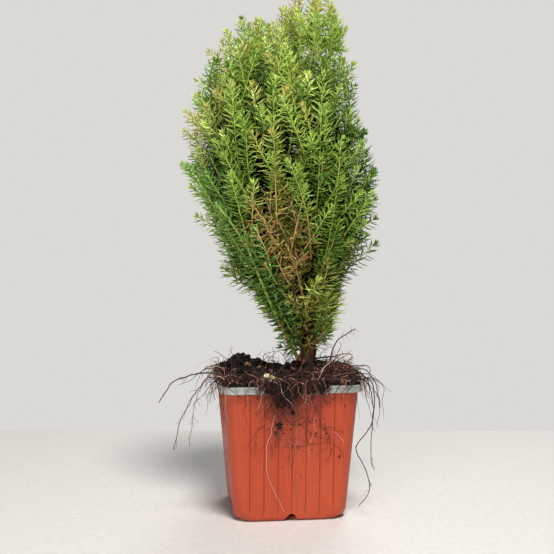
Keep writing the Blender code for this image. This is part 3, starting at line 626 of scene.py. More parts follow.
def square_ring(half, corner):
    """A rounded square of a half width: points and outward normals, with the same number for every size."""
    points = []
    normals = []
    reach = half - corner
    along = np.concatenate([[-reach], STRAIGHT, [reach]])
    angles = (np.arange(1, CORNER_STEPS) / CORNER_STEPS) * math.pi / 2
    for side in range(4):
        turn = side * math.pi / 2
        c, s = math.cos(turn), math.sin(turn)
        flat = np.stack([along, np.full(len(along), -half)], axis=1)
        bend = np.stack([reach + corner * np.sin(angles), -reach - corner * np.cos(angles)], axis=1)
        flat_out = np.tile([0.0, -1.0], (len(along), 1))
        bend_out = np.stack([np.sin(angles), -np.cos(angles)], axis=1)
        rotate = np.array([[c, s], [-s, c]])
        points.append(np.concatenate([flat, bend]) @ rotate)
        normals.append(np.concatenate([flat_out, bend_out]) @ rotate)
    return np.concatenate(points), np.concatenate(normals)


def corner_share():
    """0 in the middle of a straight side and 1 in the middle of a corner, for each place of a ring."""
    flat = np.clip((np.abs(STRAIGHT) - (SIDE_END - 5.0)) / 5.0, 0.0, 1.0) ** 2 * 0.35
    flat = np.concatenate([[0.35], flat, [0.35]])
    turn = np.sin(np.arange(1, CORNER_STEPS) / CORNER_STEPS * math.pi)
    return np.tile(np.concatenate([flat, 0.35 + 0.65 * turn]), 4)


def grooved():
    """How deep each place of a ring lies in a groove, from 0 to 1."""
    depth = np.zeros(len(STRAIGHT) + 2)
    for middle in GROOVE_PLACES:
        off = np.abs(STRAIGHT - middle)
        depth[1:-1] = np.maximum(depth[1:-1], np.clip(1.0 - (off / GROOVE_HALF) ** 2, 0.0, 1.0))
    return np.tile(np.concatenate([depth, np.zeros(CORNER_STEPS - 1)]), 4)


def strip(first, second, count):
    """Quads between two rings of the same count."""
    a = np.arange(count)
    b = (a + 1) % count
    return np.stack([first + a, first + b, second + b, second + a], axis=1)


def pot_rings():
    """The pot's rings of points: up its heel and its grooved wall, then down its inside."""
    deep = grooved()
    heel = HEEL_LEAST + HEEL_MORE * corner_share()
    rows = [("heel", step / HEEL_STEPS * math.pi / 2) for step in range(HEEL_STEPS + 1)]
    rows += [("wall", up) for up in np.linspace(0, 1, 48)[1:]]
    rings = []
    for kind, t in rows:
        if kind == "heel":
            z = heel * (1 - math.cos(t))
            inset = heel * (1 - math.sin(t)) * (HEEL_LEAST / heel) ** 0.35
        else:
            z = heel + (POT_HEIGHT - heel) * t
            inset = np.zeros(len(heel))
        middle = float(np.mean(z))
        ring, out = square_ring(wall_half(middle), POT_CORNER)
        ring = ring + out * (LEAN * (z - middle) - inset)[:, None]
        if kind == "wall":
            fade = np.clip(np.minimum((z - 3.2) / 2.0, (POT_HEIGHT - 4.0 - z) / 2.0), 0.0, 1.0)
            ring = ring - out * (GROOVE_DEPTH * deep * fade)[:, None]
        rings.append(np.column_stack([ring, z]))
    for z in np.linspace(POT_HEIGHT, INNER_FLOOR, 14):
        ring, out = square_ring(wall_half(z, POT_WALL), POT_CORNER - POT_WALL)
        inset = np.clip(1 - (z - INNER_FLOOR) / (heel + 0.5), 0.0, 1.0) ** 2 * heel
        rings.append(np.column_stack([ring - out * inset[:, None], np.full(len(ring), z)]))
    return rings


def notch_cutter(side):
    """A block in the shape of the bell-shaped notch in the foot of one side."""
    steps = 20
    outline = [(-NOTCH_HALF_WIDE, -2.0)]
    for i in range(steps + 1):
        x = (2 * i / steps - 1) * NOTCH_HALF_WIDE
        bell = math.cos(x / NOTCH_HALF_WIDE * math.pi / 2) ** 1.3
        outline.append((x, NOTCH_TALL * bell - 0.15))
    outline.append((NOTCH_HALF_WIDE, -2.0))
    cut = bmesh.new()
    near = [cut.verts.new((x * MM, -(POT_FOOT / 2 + 4.5) * MM, z * MM)) for x, z in outline]
    far = [cut.verts.new((x * MM, -(POT_FOOT / 2 - 4.5) * MM, z * MM)) for x, z in outline]
    cut.faces.new(near)
    cut.faces.new(far[::-1])
    for k in range(len(outline)):
        after = (k + 1) % len(outline)
        cut.faces.new((near[k], far[k], far[after], near[after]))
    bmesh.ops.recalc_face_normals(cut, faces=cut.faces)
    bmesh.ops.transform(cut, matrix=Matrix.Rotation(side * math.pi / 2, 4, "Z"), verts=cut.verts)
    return block_of(cut, f"notch_{side}")


def make_pot():
    """The pot: its rings joined into one closed body, with a notch cut in the foot of each side."""
    rings = pot_rings()
    count = len(rings[0])
    quads = [strip(r * count, (r + 1) * count, count) for r in range(len(rings) - 1)]
    shape = bmesh.new()
    verts = [shape.verts.new(p * MM) for p in np.concatenate(rings)]
    for a, b, c, d in np.concatenate(quads):
        shape.faces.new((verts[a], verts[b], verts[c], verts[d]))
    shape.faces.new(verts[count - 1 :: -1])
    shape.faces.new(verts[-count:])
    bmesh.ops.triangulate(shape, faces=[f for f in shape.faces if len(f.verts) > 4])
    bmesh.ops.recalc_face_normals(shape, faces=shape.faces)
    pot = linked("pot_body", block_of(shape, "pot_body"))
    pot.data.materials.append(pot_material())
    cutters = bpy.data.collections.new("notch_cutters")
    bpy.context.scene.collection.children.link(cutters)
    for side in range(4):
        cutters.objects.link(bpy.data.objects.new(f"notch_{side}", notch_cutter(side)))
    apply_boolean(pot, cutters)
    pot.data.shade_smooth()
    pot.data.set_sharp_from_angle(angle=math.radians(38))
    p = places_of(pot)
    point_values(pot, "dirt_and_shade", pot_dirt_and_shade(p))
    point_values(pot, "groove", painted_groove_shade(p))
    dress(pot, ["pot"])


def apply_boolean(made, cutters):
    """Cuts the blocks of a collection out of a piece for good, and clears them away."""
    cut = made.modifiers.new("notches", "BOOLEAN")
    cut.operation = "DIFFERENCE"
    cut.operand_type = "COLLECTION"
    cut.collection = cutters
    cut.solver = "EXACT"
    graph = bpy.context.evaluated_depsgraph_get()
    mesh = bpy.data.meshes.new_from_object(made.evaluated_get(graph))
    made.modifiers.clear()
    made.data = mesh
    for used in list(cutters.objects):
        bpy.data.objects.remove(used, do_unlink=True)
    bpy.data.collections.remove(cutters)


def square_reach(points):
    """The half width of the pot's rounded square through each point, at the point's height."""
    inner = wall_half(points[:, 2]) - POT_CORNER
    ax = np.abs(points[:, 0]) - inner
    ay = np.abs(points[:, 1]) - inner
    bend = inner + np.hypot(np.maximum(ax, 0), np.maximum(ay, 0))
    return np.where((ax > 0) & (ay > 0), bend, inner + np.maximum(ax, ay))


def painted_groove_shade(p):
    """Where a groove's dark line of painted shade lies."""
    across = np.where(np.abs(p[:, 1]) > np.abs(p[:, 0]), p[:, 0], p[:, 1])
    nearest = np.abs(across - GROOVE_PITCH * np.round(across / GROOVE_PITCH))
    within = (np.abs(across) < GROOVE_PITCH * (GROOVES_PER_SIDE // 2) + 1.0) & (p[:, 2] > 3.4)
    fade = np.clip((POT_HEIGHT - 3.4 - p[:, 2]) / 1.5, 0.0, 1.0)
    uneven = 0.75 + 0.3 * soft_noise(p / np.array((2.0, 2.0, 7.0)), 13)
    return np.clip(1.0 - nearest / 0.24, 0.0, 1.0) * within * fade * uneven


def pot_dirt_and_shade(p):
    """Where soil has rubbed onto the pot, patches and a trail below the roots in front; with painted shade
    below the rim, and darker at its foot and inside.
    """
    front = (p[:, 1] < -24).astype(float)
    down = POT_HEIGHT - p[:, 2]

    def patch(x, wide, below, tall, much):
        return front * np.exp(-(((p[:, 0] - x) / wide) ** 2) - ((down - below) / tall) ** 2) * much

    smear = patch(-1.0, 9.5, 7.0, 8.5, 0.85)
    trail = patch(-8.4 + (p[:, 2] - 34.4) * 0.19, 1.9, 19.0, 11.0, 1.1)
    wide = patch(8.0, 12.0, 20.0, 13.0, 0.28)
    # painted shade below the rim, fading out 13 mm down
    shade_below_rim = np.clip((13.0 - down) / 13.0, 0.0, 1.0) ** 2 * 0.1
    # darker at the foot and on the inside
    foot = np.clip(1.0 - p[:, 2] / 2.0, 0.0, 1.0) * 0.3
    inside = (square_reach(p) < wall_half(p[:, 2], 0.75)) & (p[:, 2] > 3.4)
    patchy = 0.75 + 0.5 * rough_noise(p / 5.0, 3)
    return np.clip((smear + trail + wide + shade_below_rim) * patchy + foot + 0.7 * inside, 0.0, 1.0)


RIM_PROFILE = [  # half width, and depth below the rim's top
    (33.30, 3.40), (33.36, 3.50), (34.60, 3.50), (34.84, 3.38), (34.92, 3.15), (34.84, 2.90),
    (34.80, 2.60), (35.00, 0.90), (35.10, 0.40), (34.98, 0.14), (34.72, 0.00), (34.00, -0.02),
    (32.40, 0.00), (32.12, 0.08), (32.00, 0.25), (32.00, 0.55), (33.46, 0.55),
]


def make_rim():
    """The pale band: a rounded L over the pot's mouth, with a small bead along its lower edge."""
    rings = []
    for half, below in RIM_PROFILE:
        ring = square_ring(half, POT_CORNER + (half - 33.0) * 0.8)[0]
        rings.append(np.column_stack([ring, np.full(len(ring), RIM_TOP - below)]))
    count = len(rings[0])
    points = np.concatenate(rings)
    wobble = 0.12 * soft_noise(points / 14.0, 5)
    points[:, 2] += wobble * (points[:, 2] > RIM_TOP - RIM_TALL + 0.2)
    quads = [strip(r * count, ((r + 1) % len(rings)) * count, count) for r in range(len(rings))]
    rim = mesh_object("rim_band", points, np.concatenate(quads), [rim_material()], smooth=True)
    rim.data.set_sharp_from_angle(angle=math.radians(50))
    p = places_of(rim)
    front = np.exp(-(((p[:, 0] - 4.0) / 22.0) ** 2)) * (p[:, 1] < -30)
    # darker over the right part of the band: painted shade; in front and all over: soil dirt
    dirt_and_shade = 0.35 + 0.6 * front + 0.3 * (p[:, 0] > 15) + 0.5 * rough_noise(p / 7.0, 9)
    point_values(rim, "dirt_and_shade", np.clip(dirt_and_shade, 0, 1))
    dress(rim, ["pot_rim"])


# ---------------------------------------------------------------- soil


def soil_height(plan):
    """Surface height of the solid's soil at places in the plan."""
    x, y = plan[:, 0], plan[:, 1]
    height = np.full(len(plan), SOIL_EDGE)
    for mx, my, tall, wide, deep in MOUNDS:
        height = height + tall * np.exp(-(((x - mx) / wide) ** 2 + ((y - my) / deep) ** 2))
    ripple = np.sin(x * 0.61 + 1.3) * np.sin(y * 0.54 + 0.4) + 0.6 * np.sin(x * 1.33 + y * 0.99)
    height = height + 0.45 * ripple
    far = np.hypot(x - TRUNK_FOOT, y)
    flat = TRUNK_PATH[0, 2] - 0.3
    return np.where(far < 7.5, flat, np.where(far < 14.0, np.minimum(height, flat), height))


def soil_top(x, y):
    """Height of the crumbly surface at places in the pot's frame."""
    x, y = np.asarray(x, float), np.asarray(y, float)
    flat = np.stack([x.ravel(), y.ravel(), np.zeros(x.size)], axis=1)
    plan = to_plan(flat)
    crumbs = 1.5 * cell_bumps(flat / 3.4, 21) + 0.8 * cell_bumps(flat / 1.5, 27)
    crumbs = crumbs + 0.5 * rough_noise(flat / 6.0, 33)
    near = np.hypot(plan[:, 0] - TRUNK_FOOT, plan[:, 1])
    crumbs = crumbs * np.clip((near - 4.5) / 4.0, 0.15, 1.0)
    return (soil_height(plan) + crumbs - 0.9).reshape(x.shape)


SOIL_CELLS = 150
SOIL_HALF = SOIL_OVERHANG + 0.3
SOIL_CORNER = 5.9
SOIL_BELOW = [  # height, and share of the half width, of the rings below the soil's edge
    (RIM_TOP + 0.3, 1.0),
    (RIM_TOP + 0.3, 31.6 / SOIL_HALF),
    (5.0, 26.6 / SOIL_HALF),
    (1.5, 23.9 / SOIL_HALF),
]


def soil_surface():
    """Rows of points of the soil's top, a square grid bent into rounded corners."""
    line = np.linspace(-1, 1, SOIL_CELLS + 1)
    gx, gy = np.meshgrid(line, line, indexing="ij")
    inner = SOIL_HALF - SOIL_CORNER
    x, y = gx * SOIL_HALF, gy * SOIL_HALF
    ax, ay = np.abs(x) - inner, np.abs(y) - inner
    far = np.hypot(ax, ay)
    reach = np.maximum(ax, ay)
    outside = (ax > 0) & (ay > 0)
    x = np.where(outside, np.sign(x) * (inner + ax / np.maximum(far, 1e-9) * reach), x)
    y = np.where(outside, np.sign(y) * (inner + ay / np.maximum(far, 1e-9) * reach), y)
    edge = np.maximum(np.abs(gx), np.abs(gy))
    z = soil_top(x, y) - 1.6 * np.clip((edge - 0.95) / 0.05, 0, 1) ** 2
    z = np.maximum(z, RIM_TOP + 0.35)
    return np.stack([x, y, z], axis=-1).reshape(-1, 3)


def make_soil():
    """The soil: its crumbly top, and plain sides and floor down inside the pot."""
    points = soil_surface()
    n = SOIL_CELLS + 1
    i, j = np.meshgrid(np.arange(SOIL_CELLS), np.arange(SOIL_CELLS), indexing="ij")
    a = (i * n + j).ravel()
    quads = [np.stack([a, a + n, a + n + 1, a + 1], axis=1)]
    numbers = np.arange(n * n).reshape(n, n)
    before = np.concatenate([numbers[:, 0], numbers[-1, 1:], numbers[-2::-1, -1], numbers[0, -2:0:-1]])
    ring = points[before]
    total = len(points)
    extra = []
    for height, share in SOIL_BELOW:
        extra.append(np.column_stack([ring[:, :2] * share, np.full(len(ring), height)]))
        after = total + np.arange(len(ring))
        total += len(ring)
        quads.append(np.stack([before, after, np.roll(after, -1), np.roll(before, -1)], axis=1))
        before = after
    points = np.concatenate([points, *extra, [(0.0, 0.0, SOIL_BELOW[-1][0])]])
    soil = mesh_object("soil_bed", points, np.concatenate(quads), SOILS[:2], smooth=True)
    shape = bmesh.new()
    shape.from_mesh(soil.data)
    shape.verts.ensure_lookup_table()
    for first, second in zip(before, np.roll(before, -1)):
        shape.faces.new((shape.verts[second], shape.verts[first], shape.verts[total]))
    bmesh.ops.recalc_face_normals(shape, faces=shape.faces)
    shape.to_mesh(soil.data)
    shape.free()
    centres = np.zeros(len(soil.data.polygons) * 3, np.float32)
    soil.data.polygons.foreach_get("center", centres)
    centres = centres.reshape(-1, 3).astype(float) / MM
    brown = (rough_noise(centres / 4.0, 51) + 0.035 * centres[:, 0]) > 0.25
    soil.data.polygons.foreach_set("material_index", brown.astype(np.int32))
    dress(soil, ["soil"])


def lump(fineness):
    """Points and triangles of a ball."""
    shape = bmesh.new()
    bmesh.ops.create_icosphere(shape, subdivisions=fineness, radius=1.0)
    points = np.array([v.co for v in shape.verts])
    faces = np.array([[v.index for v in f.verts] for f in shape.faces])
    shape.free()
    return points, faces


LUMP = lump(2)
SPECK = lump(1)


def random_turns(rng, n):
    """Rotation matrices, each any way round."""
    w, x, y, z = unit(rng.normal(size=(n, 4))).T
    rows = [
        [1 - 2 * (y * y + z * z), 2 * (x * y - w * z), 2 * (x * z + w * y)],
        [2 * (x * y + w * z), 1 - 2 * (x * x + z * z), 2 * (y * z - w * x)],
        [2 * (x * z - w * y), 2 * (y * z + w * x), 1 - 2 * (x * x + y * y)],
    ]
    return np.moveaxis(np.array(rows), 2, 0)


def upright_turns(angles):
    """Rotation matrices about the vertical."""
    c, s, zero, one = np.cos(angles), np.sin(angles), np.zeros(len(angles)), np.ones(len(angles))
    return np.moveaxis(np.array([[c, -s, zero], [s, c, zero], [zero, zero, one]]), 2, 0)


def lumps(places, sizes, rng, rough, flat_to=None, ball=LUMP):
    """Joined rough lumps of half lengths (n, 3), turned at random, or upright by the angles in flat_to."""
    n = len(places)
    ball_points, ball_faces = ball
    shapes = np.tile(ball_points, (n, 1, 1))
    shift = rng.uniform(-50, 50, (n, 1, 3))
    uneven = soft_noise((shapes * 1.6 + shift).reshape(-1, 3), 7).reshape(n, -1, 1)
    shapes = shapes * (1.0 + rough * uneven)
    shapes = shapes * (1.0 + 0.45 * rough * rng.uniform(-1, 1, (n, len(ball_points), 1)))
    shapes = shapes * sizes[:, None]
    turns = random_turns(rng, n) if flat_to is None else upright_turns(flat_to)
    shapes = np.einsum("nij,nkj->nki", turns, shapes)
    points = shapes + places[:, None]
    faces = ball_faces[None] + (np.arange(n) * len(ball_points))[:, None, None]
    return points.reshape(-1, 3), faces.reshape(-1, 3), np.repeat(np.arange(n), len(ball_faces))


CRUMBS = 1500
COLLAR_CRUMBS = 190  # heaped round the trunk's foot
CHIPS = 70
STONES = [  # plan place, and half lengths
    (-8.5, -25.0, 2.2, 1.6, 1.5),
    (-5.6, -27.6, 1.8, 1.2, 1.1),
    (-10.2, -28.4, 1.0, 0.8, 0.7),
    (-21.5, -24.5, 2.1, 0.9, 0.4),
    (8.5, -20.0, 0.7, 0.6, 0.5),
    (-33.5, 9.0, 1.1, 0.8, 0.7),
    (20.0, 20.0, 1.2, 0.9, 0.8),
]


def make_crumbs(rng):
    """Crumbs all over the soil, thickest on the mound at the left and round the trunk's foot."""
    n = CRUMBS
    spots = rng.uniform(-33.6, 33.6, (n * 3, 2))
    plan = to_plan(np.column_stack([spots, np.zeros(len(spots))]))
    mound = np.exp(-(((plan[:, 0] + 20) / 12) ** 2 + (plan[:, 1] / 16) ** 2))
    keep = rng.random(len(spots)) < 0.25 + 0.75 * mound
    keep &= np.hypot(plan[:, 0] - TRUNK_FOOT, plan[:, 1]) > 4.6
    keep &= np.max(np.abs(spots), axis=1) < 33.4
    keep &= np.min(np.abs(spots), axis=1) <= 28.5
    spots, mound = spots[keep][:n], mound[keep][:n]
    turn = rng.uniform(0, 2 * math.pi, COLLAR_CRUMBS)
    far = rng.uniform(3.6, 8.5, COLLAR_CRUMBS)
    ring = np.column_stack([far * np.cos(turn), far * np.sin(turn), np.zeros(COLLAR_CRUMBS)])
    collar = to_pot(ring + (TRUNK_FOOT, 0.0, 0.0))
    heap = np.clip((7.0 - far) / 3.4, 0, 1) * rng.uniform(0.2, 2.4, COLLAR_CRUMBS)
    heap = np.concatenate([np.zeros(len(spots)), heap])
    spots = np.concatenate([spots, collar[:, :2]])
    mound = np.concatenate([mound, np.full(COLLAR_CRUMBS, 0.4)])
    n = len(spots)
    size = 0.4 + (1.1 + 0.9 * mound) * rng.random(n) ** 2.4
    sizes = size[:, None] * rng.uniform(0.6, 1.15, (n, 3))
    top = np.maximum(soil_top(*spots.T), RIM_TOP + 0.2)
    found = lumps(np.column_stack([spots, top + 0.15 * size + heap]), sizes, rng, 0.4)
    kinds = np.where(rng.random(n) < 0.25 * (1 - mound) + 0.06, 1, 0)
    kinds = np.where(rng.random(n) < 0.04, 2, kinds)
    joined_piece("soil_crumbs", found, SOILS, kinds)


def make_chips(rng):
    """Flat flakes of bark on the soil."""
    spots = rng.uniform(-31, 31, (CHIPS, 2))
    places = np.column_stack([spots, soil_top(*spots.T) + 0.5])
    sizes = np.column_stack([rng.uniform(*half, CHIPS) for half in ((0.9, 2.4), (0.3, 0.6), (0.15, 0.3))])
    found = lumps(places, sizes, rng, 0.22)
    joined_piece("bark_chips", found, [SOILS[2], SOILS[1]], rng.choice(2, CHIPS))


def make_stones(rng):
    """The few pale stones on the soil."""
    rows = np.array(STONES)
    places = to_pot(np.column_stack([rows[:, :2], np.zeros(len(rows))]))
    half = rows[:, 2:]
    places[:, 2] = soil_top(places[:, 0], places[:, 1]) + half[:, 2] * 0.8
    joined_piece("pale_stones", lumps(places, half, rng, 0.25), [PALE_STONE], np.zeros(len(rows), int))


CLUSTERS = [  # x, z, half width and height of each cluster of specks on the pot's front
    (-6.6, 47.4, 1.6, 2.3),
    (-8.2, 44.0, 1.1, 1.2),
    (-8.4, 38.9, 0.5, 2.6),
    (6.3, 43.4, 0.5, 0.8),
    (0.2, 53.9, 1.2, 1.0),
    (11.5, 43.6, 0.9, 0.7),
    (16.5, 43.4, 0.8, 0.7),
    (19.0, 35.2, 0.6, 0.9),
    (23.5, 31.7, 1.1, 1.0),
    (17.0, 58.4, 1.0, 0.7),
    (14.5, 56.4, 0.8, 0.6),
    (27.6, 57.0, 0.7, 1.8),
    (26.5, 44.4, 0.5, 1.0),
    (25.0, 38.4, 0.5, 1.0),
]
FRONT_SPECKS = 130
OTHER_SPECKS = 150  # on the other three sides


def make_specks():
    """Crumbs of soil that stick to the pot's faces."""
    rng = np.random.default_rng(SEED + 3)
    x, z, half = [], [], []
    for middle, height, wide, tall in CLUSTERS:
        for _ in range(int(8 + 14 * wide * tall)):
            x.append(middle + rng.normal() * wide * 0.46)
            z.append(height + rng.normal() * tall * 0.46)
            half.append(min(wide, tall, 1.2) * rng.uniform(0.08, 0.34))
    x += list(np.clip(rng.normal(2, 11, FRONT_SPECKS), -25, 26))
    z += list(np.clip(rng.normal(46, 12, FRONT_SPECKS), 4, 61))
    half += list(rng.uniform(0.1, 0.3, FRONT_SPECKS))
    side = [0] * len(x)
    x += list(rng.uniform(-24, 24, OTHER_SPECKS))
    z += list(np.clip(rng.normal(50, 12, OTHER_SPECKS), 4, 61))
    half += list(rng.uniform(0.1, 0.36, OTHER_SPECKS))
    side += list(rng.integers(1, 4, OTHER_SPECKS))
    z, half, turn = np.array(z), np.array(half), np.array(side) * math.pi / 2
    x = np.clip(x, -(wall_half(z) - 7.0), wall_half(z) - 7.0)
    y = -wall_half(z) - 0.04
    across = x * np.cos(turn) - y * np.sin(turn)
    places = np.column_stack([across, x * np.sin(turn) + y * np.cos(turn), z])
    sizes = half[:, None] * rng.uniform(0.6, 1.5, (len(half), 3)) * np.array((1.0, 0.45, 1.0))
    found = lumps(places, sizes, rng, 0.4, turn, SPECK)
    joined_piece("soil_specks", found, SOILS, rng.choice(2, len(half), p=[0.8, 0.2]))


# ---------------------------------------------------------------- roots


def keep_outside(p):
    """Moves points out of the soil, the rim and the pot, to where the nearest free place is."""
    p = p.copy()
    wide = np.maximum(np.abs(p[:, 0]), np.abs(p[:, 1]))
    over = wide < SOIL_OVERHANG
    top = np.where(over, np.maximum(soil_top(p[:, 0], p[:, 1]), RIM_TOP) + 0.2, -1e3)
    rim = (wide >= SOIL_OVERHANG) & (wide < RIM_OUT / 2 + 0.3)
    above = p[:, 2] > RIM_TOP - 1.5
    p[:, 2] = np.where(over & (p[:, 2] < top), top, p[:, 2])
    p[:, 2] = np.where(rim & above & (p[:, 2] < RIM_TOP + 0.25), RIM_TOP + 0.25, p[:, 2])
    low = ~above & ~over
    beside_rim = p[:, 2] > RIM_TOP - RIM_TALL - 0.4
    allowed = np.where(beside_rim, RIM_OUT / 2 + 0.25, wall_half(p[:, 2]) + 0.3)
    push = low & (wide < allowed)
    scale = np.where(push, allowed / np.maximum(wide, 1e-6), 1.0)
    along_x = np.abs(p[:, 0]) >= np.abs(p[:, 1])
    p[:, 0] = np.where(push & along_x, p[:, 0] * scale, p[:, 0])
    p[:, 1] = np.where(push & ~along_x, p[:, 1] * scale, p[:, 1])
    return p


def wander(starts, ways, lengths, rng, curl, hang, steps):
    """Paths (n, steps + 1, 3) of fibres that creep over the soil and hang where they pass the rim."""
    p = keep_outside(starts)
    d = unit(ways)
    step = (lengths / steps)[:, None]
    paths = [p]
    bias = rng.normal(size=p.shape) * curl * 0.35
    for _ in range(steps):
        wide = np.maximum(np.abs(p[:, 0]), np.abs(p[:, 1]))
        free = np.clip((wide - 33.0) / 4.0, 0.0, 1.0)
        d = d + bias + rng.normal(size=p.shape) * curl * np.array([1.0, 1.0, 0.6])
        d[:, 2] -= hang * (0.35 + 1.6 * free)
        d = unit(d)
        p = keep_outside(p + d * step)
        paths.append(p)
    found = np.stack(paths, axis=1)
    smoothed = found.copy()
    smoothed[:, 1:-1] = 0.5 * found[:, 1:-1] + 0.25 * (found[:, 2:] + found[:, :-2])
    smoothed[:, :, 2] = np.maximum(smoothed[:, :, 2], 0.5)
    return smoothed


def fibre_radii(n, steps, rng, thick, taper=0.6):
    """Radii along n fibres, from the thin and the thick limit at their roots down to the taper's share."""
    base = thick[0] + (thick[1] - thick[0]) * rng.random(n) ** 1.6
    return base[:, None] * (1.0 - taper * np.linspace(0, 1, steps + 1)[None])


def within_reach(paths):
    """Which paths stay within the solids' own reach."""
    low, high = paths.min(axis=1)[:, :2], paths.max(axis=1)[:, :2]
    return (low > (-64.0, -44.0)).all(axis=1) & (high < (48.6, 44.0)).all(axis=1)


ANY_WAY = None
MAT_FIBRES = [  # count, middle and spread in the pot's plan, way and its scatter, lengths, curl, hang
    (170, (24, -8), (6, 13), ANY_WAY, 0, (7, 20), 0.45, 0.25),
    (90, (-18, -27), (9, 3), ANY_WAY, 0, (7, 20), 0.45, 0.25),
    (70, (4, -27), (10, 4), ANY_WAY, 0, (7, 20), 0.45, 0.25),
    (80, (0, 0), (20, 20), ANY_WAY, 0, (7, 18), 0.45, 0.25),
    (80, (0, 24), (22, 6), ANY_WAY, 0, (7, 20), 0.45, 0.25),
    (30, (12, -2), (5, 5), ANY_WAY, 0, (6, 16), 0.4, 0.25),
    (40, (-31, -14), (2, 8), (-1, -0.3, 0.1), 0.4, (6, 24), 0.3, 0.25),
    (60, (31, -12), (2, 11), (1, -0.2, 0.15), 0.45, (5, 17), 0.4, 0.45),
    (60, (1, -31), (8, 1.5), (0, -1, 0.1), 0.45, (5, 14), 0.4, 0.4),
    (30, (-22, -31), (6, 1.5), (-0.2, -1, 0.1), 0.45, (3, 8), 0.4, 0.4),
    (36, (22, -31), (7, 1.5), (0.2, -1, 0.1), 0.45, (4, 11), 0.4, 0.4),
    (40, (0, 31), (18, 1.5), (0, 1, 0.1), 0.45, (5, 14), 0.4, 0.4),
    (20, (-31, 14), (1.5, 9), (-1, 0, 0.1), 0.45, (5, 15), 0.4, 0.4),
    (20, (31, 16), (1.5, 9), (1, 0, 0.1), 0.45, (5, 14), 0.4, 0.4),
]
LONG_FIBRES = [
    (150, (-6, -26), (17, 6), ANY_WAY, 0, (14, 34), 0.22, 0.12),
    (130, (22, -12), (8, 14), ANY_WAY, 0, (14, 32), 0.24, 0.12),
    (60, (0, 20), (20, 9), ANY_WAY, 0, (14, 30), 0.24, 0.12),
]
MAT_STEPS = 16
LONG_RISE = 7.0  # a long fibre rises no more than this over its root
MAT_KINDS = [0.36, 0.31, 0.21, 0.09, 0.03]  # share of each of ROOTS
STOUT = 14  # one long fibre in so many is stout
RED_ROOT = 2


def mat_fibres(rows, rng):
    """Paths and radii of the fibres that creep from the soil, apart from its bare mound at the left."""
    paths, radii = [], []
    for count, middle, spread, way, scatter, lengths, curl, hang in rows:
        starts = np.array((*middle, 0)) + rng.normal(size=(count, 3)) * np.array((*spread, 0))
        starts[:, :2] = np.clip(starts[:, :2], -33.0, 33.0)
        starts = starts[np.hypot((starts[:, 0] + 22) / 10.0, (starts[:, 1] - 3) / 14.0) >= 1.0]
        count = len(starts)
        starts[:, 2] = soil_top(starts[:, 0], starts[:, 1]) + rng.uniform(0.0, 1.0, count)
        if way is ANY_WAY:
            angle = rng.uniform(0, 2 * math.pi, count)
            ways = np.column_stack([np.cos(angle), np.sin(angle), rng.uniform(-0.2, 0.35, count)])
        else:
            ways = np.array(way) + rng.normal(size=(count, 3)) * scatter
        found = wander(starts, ways, rng.uniform(*lengths, count), rng, curl, hang, MAT_STEPS)
        found = found[within_reach(found)]
        paths.append(found)
        radii.append(fibre_radii(len(found), MAT_STEPS, rng, (0.11, 0.27)))
    return np.concatenate(paths), np.concatenate(radii)


def root_piece(name, paths, radii, kinds, nodes=(), sides=4):
    """A piece of joined fibres, each of its own kind of root."""
    joined_piece(name, tubes(paths, radii, sides), ROOTS, kinds, nodes, smooth=True)


def make_root_mat():
    rng = np.random.default_rng(SEED + 4)
    paths, radii = mat_fibres(MAT_FIBRES, rng)
    root_piece("root_mat", paths, radii, rng.choice(len(ROOTS), len(paths), p=MAT_KINDS))
    paths, radii = mat_fibres(LONG_FIBRES, rng)
    lying = paths[:, :, 2].max(axis=1) - paths[:, 0, 2] < LONG_RISE
    paths, radii = paths[lying], radii[lying]
    radii[::STOUT] *= 1.8
    kinds = rng.choice(len(ROOTS), len(paths), p=MAT_KINDS)
    kinds[::STOUT] = RED_ROOT
    root_piece("root_mat_long", paths, radii, kinds)


CLUMP_PLACES = [-14.5, -11.0, -8.5, -5.0, -2.5, 2.0, 8.0, 14.0, 17.5]
CLUMP_LOWEST = [64.9, 62.4, 57.0, 54.9, 59.9, 62.2, 62.8, 63.4, 66.4]
CLUMP_CREST = RIM_TOP + 3.3
CLUMP_CRUMBS = 480
CLUMP_FIBRES = 360
CLUMP_STEPS = 12


def make_clump():
    """The matted crumbs and fibres that hang over the front of the rim."""
    rng = np.random.default_rng(SEED + 5)
    count = CLUMP_CRUMBS
    x = rng.uniform(-14.0, 17.0, count)
    low = np.interp(x, CLUMP_PLACES, CLUMP_LOWEST)
    t = rng.random(count) ** 0.8
    z = CLUMP_CREST + (low + 1.0 - CLUMP_CREST) * t
    over = z > RIM_TOP + 1.9
    face = np.where(x > 4.0, -35.5, -36.3)
    y = np.where(over, -33.0 - rng.random(count) * 3.6, face - 1.3 * rng.random(count))
    size = rng.uniform(0.3, 0.85, count) * np.where(z < low + 3.0, 0.7, 1.0)
    sizes = size[:, None] * rng.uniform(0.6, 1.3, (count, 3))
    found = lumps(np.column_stack([x, y, z]), sizes, rng, 0.42)
    kinds = np.where(rng.random(count) < 0.12, 1, 0)
    joined_piece("clump_crumbs", found, SOILS[:2], kinds, ["root_clump"])
    paths = clump_paths(rng)
    radii = fibre_radii(CLUMP_FIBRES, CLUMP_STEPS, rng, (0.08, 0.19))
    kinds = rng.choice(len(ROOTS), CLUMP_FIBRES, p=[0.3, 0.34, 0.27, 0.06, 0.03])
    root_piece("clump_fibres", paths, radii, kinds, ["root_clump"])


